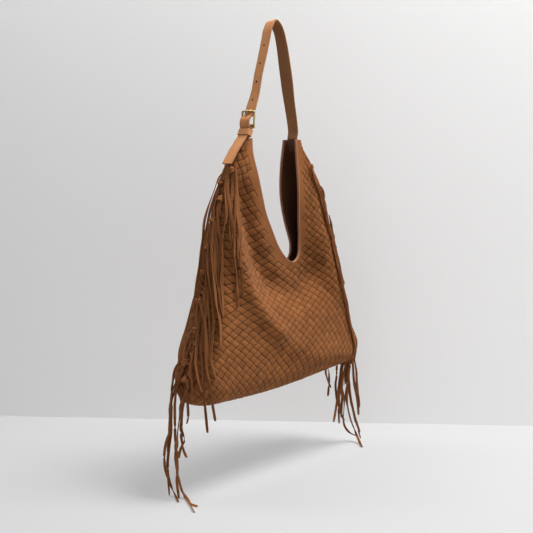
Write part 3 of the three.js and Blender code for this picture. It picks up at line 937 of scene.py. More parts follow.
@dataclass
class StrapLine:
    """Centre line and twist of the shoulder strap."""

    thickness: float = STRAP_THICKNESS

    def __post_init__(self) -> None:
        seat = seat_point(BODY_HEIGHT, -1, CHAPE_THICKNESS)
        self.axis = unit(seat - HEEL)
        self.outward = np.array([self.axis[2], 0.0, -self.axis[0]])
        self.route = Route(self._points())
        shares = np.linspace(0, 1, 4001)
        line = unit(PRONG_REST - HEEL)
        run = np.clip((self.route.at(shares) - HEEL) @ line, 0, np.linalg.norm(PRONG_REST - HEEL))
        miss = np.linalg.norm(self.route.at(shares) - HEEL - run[:, None] * line, axis=1)
        self.pierce = float(shares[np.argmin(miss)])
        turns = ((0.04, 0), (0.12, -0.17), (0.27, -0.12), (0.42, -0.12), (0.56, -0.42), (0.64, -0.16))
        end = 1 - SEWN_DROPS[-1] / self.route.length
        self.twist = Profile(*((self.pierce + share, turn) for share, turn in turns), (end, 0))

    def _over_chape(self, distance: float, slack: float) -> np.ndarray:
        spacing = (CHAPE_THICKNESS + self.thickness) / 2 + KEEPER_CLEARANCE
        return HEEL + self.axis * distance + self.outward * (spacing + slack)

    def _points(self) -> np.ndarray:
        corner = np.array([-TIP_OUTER_LEFT, 0, -STRAP_DROP])
        tail = [corner + (x, 0, z) for x, z in ((-33, -39.5), (-24, -27.6), (-16, -17.2), (-9, -9.2))]
        reach = 0.45 * KEEPER_HEIGHT
        below, above = KEEPER_DISTANCE + reach, KEEPER_DISTANCE - reach
        keeper = [self._over_chape(below, KEEPER_SLACK), self._over_chape(above, 0)]
        bulge = [HEEL + (x, 0, z) for x, z in ((-7.8, 2), (-7.4, 9.5), (-2.9, 15.2))]
        bar = [TOP_BAR + (x, 0, z) for x, z in ((2.9, -4.6), (4.6, 1))]
        loop = [(-38.6, -111.4), (-31.9, -84.3), (-22.5, -55), (-14.8, -29), (-9.8, -12)]
        loop.append((0, self.thickness / 2))
        far = [(9.5, -3.8), (16.2, -13), (22.5, -30), (33.6, -79), (41.3, -118), (49, -152), (52, -171)]
        middle = [np.array([x, 0, z]) for x, z in loop + far]
        sewn = [seat_point(BODY_HEIGHT - drop, 1, self.thickness) for drop in SEWN_DROPS]
        return np.array([*tail, *keeper, *bulge, *bar, *middle, *sewn])

    def frames(self, shares: np.ndarray) -> tuple[np.ndarray, np.ndarray, np.ndarray]:
        """Read the strap's centre, side and outward directions.

        Args:
            shares: Shares of its length.

        Returns:
            Centres, sides and normals.
        """
        centre = self.route.at(shares)
        tangent = self.route.along(shares)
        angle = self.twist(shares)
        side = ACROSS * np.cos(angle)[:, None] + np.cross(tangent, ACROSS) * np.sin(angle)[:, None]
        side = side + tangent * (tangent @ ACROSS)[:, None] * (1 - np.cos(angle))[:, None]
        return centre, unit(side), unit(np.cross(tangent, side))


def bored(obj: bpy.types.Object, tools: list[bpy.types.Object]) -> None:
    """Cut tools out of an object with applied Boolean modifiers.

    Args:
        obj: The object to cut.
        tools: The cutting objects, which are removed.
    """
    for tool in tools:
        bpy.ops.object.select_all(action="DESELECT")
        bpy.context.view_layer.objects.active = obj
        obj.select_set(True)
        cut = obj.modifiers.new("cut", "BOOLEAN")
        cut.operation = "DIFFERENCE"
        cut.solver = "EXACT"
        cut.object = tool
        bpy.ops.object.modifier_apply(modifier=cut.name)
        bpy.data.objects.remove(tool)


def joined(name: str, parts: list[bpy.types.Object]) -> bpy.types.Object:
    """Join objects into one.

    Args:
        name: Name of the result.
        parts: Objects to join.

    Returns:
        The joined object.
    """
    bpy.ops.object.select_all(action="DESELECT")
    for part in parts:
        part.select_set(True)
    bpy.context.view_layer.objects.active = parts[0]
    bpy.ops.object.join()
    made = bpy.context.view_layer.objects.active
    made.name = name
    made.data.name = name
    return made


def shade_by_angle(obj: bpy.types.Object, degrees: float = 35.0) -> None:
    """Shade an object smooth, except across sharp edges.

    Args:
        obj: The object.
        degrees: Edges sharper than this stay sharp.
    """
    bpy.ops.object.select_all(action="DESELECT")
    bpy.context.view_layer.objects.active = obj
    obj.select_set(True)
    bpy.ops.object.shade_smooth_by_angle(angle=math.radians(degrees))


@dataclass
class Strap:
    """Shoulder strap, with its punched holes, edge stitching and loose tail."""

    line: StrapLine
    width: float = 20.0
    hole_pitch: float = 30.0
    spare_holes: int = 4
    hole_radius: float = 1.9
    slot_radius: float = 1.7
    slot_stretch: float = 2.6
    stitch_pitch: float = 3.6
    stitch_inset: float = 2.2
    stitch_tint: float = -0.35

    def build(self, finishes: Finishes) -> None:
        """Build the strap.

        Args:
            finishes: The bag's materials.
        """
        fine = self.line.pierce + 0.05
        shares = np.concatenate([np.linspace(0, fine, 90, endpoint=False), np.linspace(fine, 1, 110)])
        centre, side, normal = self.line.frames(shares)
        points, faces = sweep(centre, side, normal, strip_outline(self.width, self.line.thickness))
        strap = make_mesh("strap", points, faces)
        # Painted shade: the strap's underside is darkened, and more so where it runs inside the right arm.
        below_tips = smooth((BASE_LEVEL + BODY_HEIGHT + 3 - centre[:, 2]) / 3)
        sewn = smooth((centre[:, 0] - 40) / 10) * below_tips
        underside_shade = np.array([1.0, 1.0, 1.0, 0.6, 0.0, 0.0, 0.0, 0.6])
        set_values(strap, "tint", (-underside_shade * (0.5 + 0.35 * sewn[:, None])).ravel())
        bored(strap, self._punches())
        strap = joined("strap", [strap, self._stitches()])
        shade_by_angle(strap)
        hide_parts("shoulder_strap")
        finish_piece(strap, finishes.leather, "bag")
        self._shade_holes(strap, finishes.lining)

    def _hole_shares(self) -> np.ndarray:
        """Read where the holes are, the one in use first, as shares of the strap's length."""
        return self.line.pierce + np.arange(self.spare_holes + 1) * self.hole_pitch / self.line.route.length

    def _shade_holes(self, strap: bpy.types.Object, material: bpy.types.Material) -> None:
        """Give the walls of the holes the dark lining suede, as painted shade inside the holes."""
        strap.data.materials.append(material)
        centres, _, normals = self.line.frames(self._hole_shares())
        count = len(strap.data.polygons)
        places, facing = np.empty(3 * count), np.empty(3 * count)
        strap.data.polygons.foreach_get("center", places)
        strap.data.polygons.foreach_get("normal", facing)
        index = np.zeros(count, dtype=np.int32)
        for centre, normal in zip(centres, normals):
            near = np.linalg.norm(places.reshape(-1, 3) / MM - centre, axis=1) < 5.0
            index[near & (np.abs(facing.reshape(-1, 3) @ normal) < 0.4)] = 1
        strap.data.polygons.foreach_set("material_index", index)

    def _stitches(self) -> bpy.types.Object:
        """Sew a row of short stitches along each edge, on both faces."""
        sides = 6
        count = int(self.line.route.length / self.stitch_pitch)
        reach = np.array([-1.3, -0.9, 0.0, 0.9, 1.3]) / self.line.route.length
        shares = (np.arange(count) + 0.5)[:, None] / count + reach
        centre, side, normal = (row.reshape(count, 5, 1, 3) for row in self.line.frames(shares.ravel()))
        angle = np.linspace(0, 2 * np.pi, sides, endpoint=False)[:, None]
        radius = np.array([0.2, 0.3, 0.34, 0.3, 0.2])[:, None, None]
        level = self.line.thickness / 2 + np.array([-0.4, 0.0, 0.1, 0.0, -0.4])[:, None, None]
        tubes = []
        for row in (-1, 1):
            for face in (-1, 1):
                across = row * (self.width / 2 - self.stitch_inset) + radius * np.cos(angle)
                tubes.append(centre + side * across + normal * (face * level + radius * np.sin(angle)))
        points = np.concatenate(tubes).reshape(-1, 3)
        first = np.arange(len(tubes) * count)[:, None, None] * 5 * sides + np.arange(4)[:, None] * sides
        here, after = first + np.arange(sides), first + (np.arange(sides) + 1) % sides
        faces = np.stack([here, after, after + sides, here + sides], axis=-1).reshape(-1, 4)
        stitches = make_mesh("stitches", points, faces)
        set_values(stitches, "tint", np.full(len(points), self.stitch_tint))
        return stitches

    def _punches(self) -> list[bpy.types.Object]:
        """Make the cutters of the holes; the one in use is drawn out along the strap."""
        tools = []
        for number, share in enumerate(self._hole_shares()):
            radius, stretch = (self.hole_radius, 1.0) if number else (self.slot_radius, self.slot_stretch)
            centre, side, normal = (row[0] for row in self.line.frames(np.array([share])))
            tangent = np.cross(side, normal)
            bpy.ops.mesh.primitive_cylinder_add(vertices=24, radius=radius * MM, depth=12 * MM)
            tool = bpy.context.object
            tool.data.transform(Matrix.Diagonal((stretch, 1, 1, 1)))
            turn = Matrix([tangent, side, normal]).transposed()
            tool.data.transform(Matrix.Translation(Vector(centre * MM)) @ turn.to_4x4())
            tools.append(tool)
        return tools


@dataclass
class Chape:
    """Folded strip in the left arm that holds the buckle."""

    line: StrapLine
    width: float = 19.0
    slot_half: float = 2.9
    eye_radius: float = 3.6
    bore_radius: float = 2.1

    def build(self, finishes: Finishes) -> None:
        """Build the chape.

        Args:
            finishes: The bag's materials.
        """
        sewn = [seat_point(BODY_HEIGHT - drop, -1, CHAPE_THICKNESS) for drop in SEWN_DROPS]
        route = Route(np.array([HEEL + self.line.axis * 3.0, HEEL + self.line.axis * 8, *sewn]))
        shares = np.linspace(0, 1, 30)
        tangent = route.along(shares)
        side = np.tile(ACROSS, (len(shares), 1))
        outline = strip_outline(self.width, CHAPE_THICKNESS)
        points, faces = sweep(route.at(shares), side, np.cross(tangent, side), outline)
        strip = make_mesh("chape_strip", points, faces)
        half = self.width / 2
        rings = [self._eye(-half, -self.slot_half), self._eye(self.slot_half, half)]
        chape = joined("chape_fold", [strip, *rings])
        shade_by_angle(chape)
        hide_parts("chape")
        finish_piece(chape, finishes.leather, "bag")

    def _eye(self, start: float, end: float) -> bpy.types.Object:
        """Wrap the fold round the heel bar, from one Y to another."""
        depth = end - start
        bpy.ops.mesh.primitive_cylinder_add(vertices=32, radius=self.eye_radius * MM, depth=depth * MM)
        eye = bpy.context.object
        bpy.ops.mesh.primitive_cylinder_add(vertices=32, radius=self.bore_radius * MM, depth=(depth + 4) * MM)
        bored(eye, [bpy.context.object])
        place = Matrix.Translation(Vector((HEEL + (0, (start + end) / 2, 0)) * MM))
        eye.data.transform(place @ Matrix.Rotation(math.pi / 2, 4, "X"))
        return eye


@dataclass
class Keeper:
    """Leather loop round the strap and chape."""

    line: StrapLine
    half_width: float = 10.4
    wall: float = 1.6
    squareness: float = 0.32

    def build(self, finishes: Finishes) -> None:
        """Build the keeper.

        Args:
            finishes: The bag's materials.
        """
        inner_depth = CHAPE_THICKNESS + STRAP_THICKNESS + 2 * KEEPER_SLACK
        forward = (inner_depth - CHAPE_THICKNESS) / 2 - KEEPER_CLEARANCE
        middle = HEEL + self.line.axis * KEEPER_DISTANCE + self.line.outward * forward
        angles = np.linspace(0, 2 * np.pi, 96, endpoint=False)
        ring = np.stack([np.cos(angles), np.sin(angles)])
        ring = np.sign(ring) * np.abs(ring) ** self.squareness
        ring_y = (self.half_width + self.wall / 2) * ring[0]
        ring_x = (inner_depth / 2 + self.wall / 2) * ring[1]
        centres = middle + ACROSS * ring_y[:, None] + self.line.outward * ring_x[:, None]
        centres = np.vstack([centres, centres[:1]])
        tangent = unit(np.gradient(centres, axis=0))
        tangent[0] = tangent[-1] = unit(centres[1] - centres[-2])
        axis = np.tile(self.line.axis, (len(centres), 1))
        outline = strip_outline(KEEPER_HEIGHT, self.wall)
        points, faces = sweep(centres, axis, np.cross(tangent, axis), outline)
        keeper = make_mesh("keeper_loop", points, faces)
        shade_by_angle(keeper)
        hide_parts("keeper")
        finish_piece(keeper, finishes.leather, "bag")


@dataclass
class Buckle:
    """Cast frame and prong of the strap's buckle."""

    inner_width: float = 23.0
    heel_radius: float = 1.75
    corner: float = 2.6
    thickness: float = 3.4

    def build(self, finishes: Finishes) -> None:
        """Build the frame and the prong.

        Args:
            finishes: The bag's materials.
        """
        frame_piece = joined("buckle_loop", [self._heel(), self._bow()])
        shade_by_angle(frame_piece)
        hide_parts("buckle_frame")
        finish_piece(frame_piece, finishes.brass, "buckle")
        prong = joined("prong", [self._pin(), self._prong_eye()])
        shade_by_angle(prong)
        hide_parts("buckle_prong")
        finish_piece(prong, finishes.brass, "prong")

    def _heel(self) -> bpy.types.Object:
        depth = (self.inner_width + 2) * MM
        bpy.ops.mesh.primitive_cylinder_add(vertices=28, radius=self.heel_radius * MM, depth=depth)
        bar = bpy.context.object
        bar.data.transform(Matrix.Translation(Vector(HEEL * MM)) @ Matrix.Rotation(math.pi / 2, 4, "X"))
        return bar

    def _bow(self) -> bpy.types.Object:
        """Sweep both side bars and the top bar in one, thicker along the top."""
        half = self.inner_width / 2 + 1.1
        up = unit(TOP_BAR - HEEL)
        low, high = -2.4, float(np.linalg.norm(TOP_BAR - HEEL))
        bend = [(1 - math.cos(a), 1 - math.sin(a)) for a in np.linspace(0.3, 1.27, 5)]
        rising = [(-half, low), (-half, high - self.corner)]
        rising += [(-half + self.corner * y, high - self.corner * z) for y, z in bend]
        rising += [(-half + self.corner, high), (-4, high + 0.5)]
        falling = [(-y, z) for y, z in rising[::-1]]
        route = Route(np.array([HEEL + up * z + (0, y, 0) for y, z in rising + falling]), steps=8)
        shares = np.linspace(0, 1, 110)
        centre, tangent = route.at(shares), route.along(shares)
        forward = np.tile(unit(np.cross(up, (0.0, 1.0, 0.0))), (len(shares), 1))
        angle = np.linspace(0, 2 * np.pi, 12, endpoint=False)
        level = smooth(((centre - HEEL) @ up - high + 4.0) / 3.0)
        wide = 1.15 + 0.75 * level
        thick = np.full_like(wide, self.thickness / 2)
        outline = np.stack([np.cos(angle) * thick[:, None], np.sin(angle) * wide[:, None]], axis=-1)
        points, faces = sweep(centre, forward, np.cross(tangent, forward), outline)
        return make_mesh("bow", points, faces)

    @staticmethod
    def _pin() -> bpy.types.Object:
        """Sweep the prong's pin, from its eye to just past the top bar."""
        line = unit(PRONG_REST - HEEL)
        shares = np.linspace(0, 1, 24)
        root, length = 2.6, np.linalg.norm(PRONG_REST - HEEL) + 2.2
        centre = HEEL + line * (root + (length - root) * shares)[:, None]
        side = np.tile(ACROSS, (24, 1))
        angle = np.linspace(0, 2 * np.pi, 12, endpoint=False)
        radius = np.interp(shares, (0, 0.8, 0.96, 1.0), (1.2, 1.05, 0.8, 0.35))
        outline = np.stack([np.cos(angle), np.sin(angle)], axis=-1) * radius[:, None, None]
        points, faces = sweep(centre, side, np.cross(side, np.tile(line, (24, 1))), outline)
        return make_mesh("pin", points, faces[:, ::-1])

    @staticmethod
    def _prong_eye() -> bpy.types.Object:
        bpy.ops.mesh.primitive_torus_add(
            major_radius=2.75 * MM, minor_radius=0.75 * MM, major_segments=32, minor_segments=12
        )
        eye = bpy.context.object
        eye.data.transform(Matrix.Diagonal((1, 1, 2.6, 1)))
        eye.data.transform(Matrix.Translation(Vector(HEEL * MM)) @ Matrix.Rotation(math.pi / 2, 4, "X"))
        return eye


Strand = tuple[np.ndarray, np.ndarray, np.ndarray]
"""Points, quads and tints of one lace or wrap."""


@dataclass
class Tassel:
    """Bunch of suede laces knotted through a side seam."""

    side: Side
    number: int
    laces: tuple[tuple[tuple[float, float, float], ...], ...]
    width: float = 4.1
    thickness: float = 1.3
    clearance: float = 2.6

    def build(self, material: bpy.types.Material) -> bpy.types.Object:
        """Build the tassel.

        Args:
            material: The laces' suede.

        Returns:
            The tassel.
        """
        rng = np.random.default_rng(1000 + 100 * self.side.value + self.number)
        points, faces, tints, start = [], [], [], 0
        strands = [self._lace(np.array(lace, float), rng) for lace in self.laces]
        fillers = 2 if self.side is Side.LEFT else 1
        strands += [self._lace(self._filler(rng), rng) for _ in range(fillers)]
        strands += self._knot(rng)
        for ring_points, ring_faces, tint in strands:
            points.append(ring_points)
            faces.append(ring_faces + start)
            tints.append(tint)
            start += len(ring_points)
        label = f"{self.side.name.lower()}_{self.number:02d}"
        tassel = make_mesh(f"laces_{label}", np.vstack(points), np.vstack(faces))
        set_values(tassel, "tint", np.concatenate(tints))
        shade_by_angle(tassel, 50.0)
        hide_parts(f"tassel_{label}")
        finish_piece(tassel, material, "bag")
        return tassel

    def _ribbon(self, route: Route, angle: np.ndarray, width: np.ndarray, tint: float) -> Strand:
        """Sweep one lace.

        Args:
            route: The lace's centre line.
            angle: Turn of its flat about its own length at each ring.
            width: Its width at each ring.
            tint: Its tint.

        Returns:
            Points, quads and tints.
        """
        shares = np.linspace(0, 1, len(angle))
        tangent = route.along(shares)
        level = unit(np.cross(tangent, np.array([0.0, 0.0, 1.0])) + 1e-6)
        other = unit(np.cross(level, tangent))
        side = level * np.cos(angle)[:, None] + other * np.sin(angle)[:, None]
        scale = np.stack([width, np.ones_like(width)], axis=-1)
        outline = strip_outline(1.0, self.thickness)[None] * scale[:, None]
        points, faces = sweep(route.at(shares), side, np.cross(tangent, side), outline)
        # Painted highlight along the lace's narrow edges and painted shade on its underside.
        edge = np.tile([0.3, -0.08, -0.08, 0.3, 0.3, 0.0, 0.0, 0.3], len(shares))
        return points, faces, tint + edge

    def _clear(self, points: np.ndarray) -> np.ndarray:
        """Lift a lace off the sack's faces.

        Args:
            points: Points of its centre line, with heights above the sack's lower edge.

        Returns:
            The points, moved out where they were inside.
        """
        lifted = points.copy()
        for row, (x, y, height) in enumerate(points):
            face = Face.BACK if y > 0 else Face.FRONT
            grid = SURFACES[face]
            miss = np.hypot(grid[:, 0] - x, grid[:, 2] - BASE_LEVEL - height)
            nearest = int(np.argmin(miss))
            if miss[nearest] < 5.0:
                out = abs(grid[nearest, 1]) + self.clearance
                lifted[row, 1] = face.value * max(abs(y), out)
        return lifted

    def _lace(self, points: np.ndarray, rng: np.random.Generator) -> Strand:
        """Sweep a lace along its traced points, with small wanders and turns of its own."""
        points = self._clear(Route(points, steps=16).at(np.linspace(0, 1, max(8, len(points) * 2))))
        points = points + (0, 0, BASE_LEVEL)
        points[1:] += np.cumsum(rng.normal(0, 0.25, points[1:].shape), axis=0) * (1, 0.5, 0)
        points[:, 2] = np.maximum(points[:, 2], FLOOR_LEVEL + 1.5)
        route = Route(points, steps=16)
        rings = max(16, int(route.length / 6))
        shares = np.linspace(0, 1, rings)
        turn = rng.uniform(-0.6, 0.6)
        turn = turn + rng.uniform(-1.1, 1.1) * np.sin(shares * rng.uniform(2, 5) + rng.uniform(0, 6))
        width = self.width * np.interp(shares, (0, 0.08, 0.97, 1), (0.7, 1, 1, 0.75))
        return self._ribbon(route, turn, width, rng.normal(-0.02, 0.16))

    def _filler(self, rng: np.random.Generator) -> np.ndarray:
        """Hang one more lace between two of the tassel's own.

        Args:
            rng: Source of its place and length.

        Returns:
            Points of its centre line.
        """
        first, second = rng.choice(len(self.laces), 2, replace=False)
        shares = np.linspace(0, 1, 9)
        ends = [Route(np.array(self.laces[number], float)).at(shares) for number in (first, second)]
        mix = rng.uniform(0.15, 0.85)
        points = ends[0] * (1 - mix) + ends[1] * mix
        points[:, 1] += rng.uniform(0.0, 8.0) * shares
        points[:, 0] += rng.uniform(-2.5, 2.5) * shares
        return points[: rng.integers(6, 10)]

    def _knot(self, rng: np.random.Generator) -> list[Strand]:
        """Wrap the laces where they leave the seam.

        Args:
            rng: Source of the knot's small differences.

        Returns:
            The wraps, one sweep each.
        """
        tops = np.array([lace[0] for lace in self.laces], float)
        below = np.array([lace[1] for lace in self.laces], float)
        top = tops.mean(0) + (0, 0, BASE_LEVEL)
        down = unit(below.mean(0) - tops.mean(0))
        seam = np.array([float(SACK.side_x(top[2] - BASE_LEVEL, self.side.value)), 0.0, top[2]])
        wraps = []
        for wrap in range(3):
            centre = top + down * (2.2 * wrap - 1.0)
            tilt = unit(down + rng.normal(0, 0.28, 3))
            first = unit(np.cross(tilt, (0.0, 1.0, 0.3)))
            second = np.cross(tilt, first)
            angle = np.linspace(0, 2 * math.pi * 0.98, 14)
            radius = 3.6 + rng.uniform(-0.4, 0.5)
            ring = centre + radius * (np.cos(angle)[:, None] * first + np.sin(angle)[:, None] * second)
            ring = ring + tilt * (angle / (2 * math.pi) * 2.0)[:, None]
            # Painted highlight: each wrap is tinted lighter than the laces.
            wraps.append(self._wrap(ring, centre, rng.normal(0.08, 0.06)))
        arch = (seam + top) / 2 + (0, -2.5, 3.5)
        loop = np.array([seam, arch, top + (0, -1.5, 1.5), top + down * 5])
        route = Route(loop, steps=10)
        # Painted highlight: the loop from the seam is tinted lighter too.
        wraps.append(self._ribbon(route, np.zeros(12), np.full(12, self.width * 0.85), 0.05))
        return wraps

    def _wrap(self, ring: np.ndarray, centre: np.ndarray, tint: float) -> Strand:
        """Sweep one turn of the knot."""
        route = Route(ring, steps=4)
        shares = np.linspace(0, 1, 26)
        points, tangent = route.at(shares), route.along(shares)
        outward = unit(points - centre)
        side = unit(np.cross(tangent, outward))
        swept, faces = sweep(points, side, outward, strip_outline(self.width * 0.72, self.thickness))
        # Painted highlight: the wrap is lighter all round, most of all on its edges.
        edge = np.tile([0.35, 0.1, 0.1, 0.35, 0.35, 0.12, 0.12, 0.35], len(shares))
        return swept, faces, tint + edge


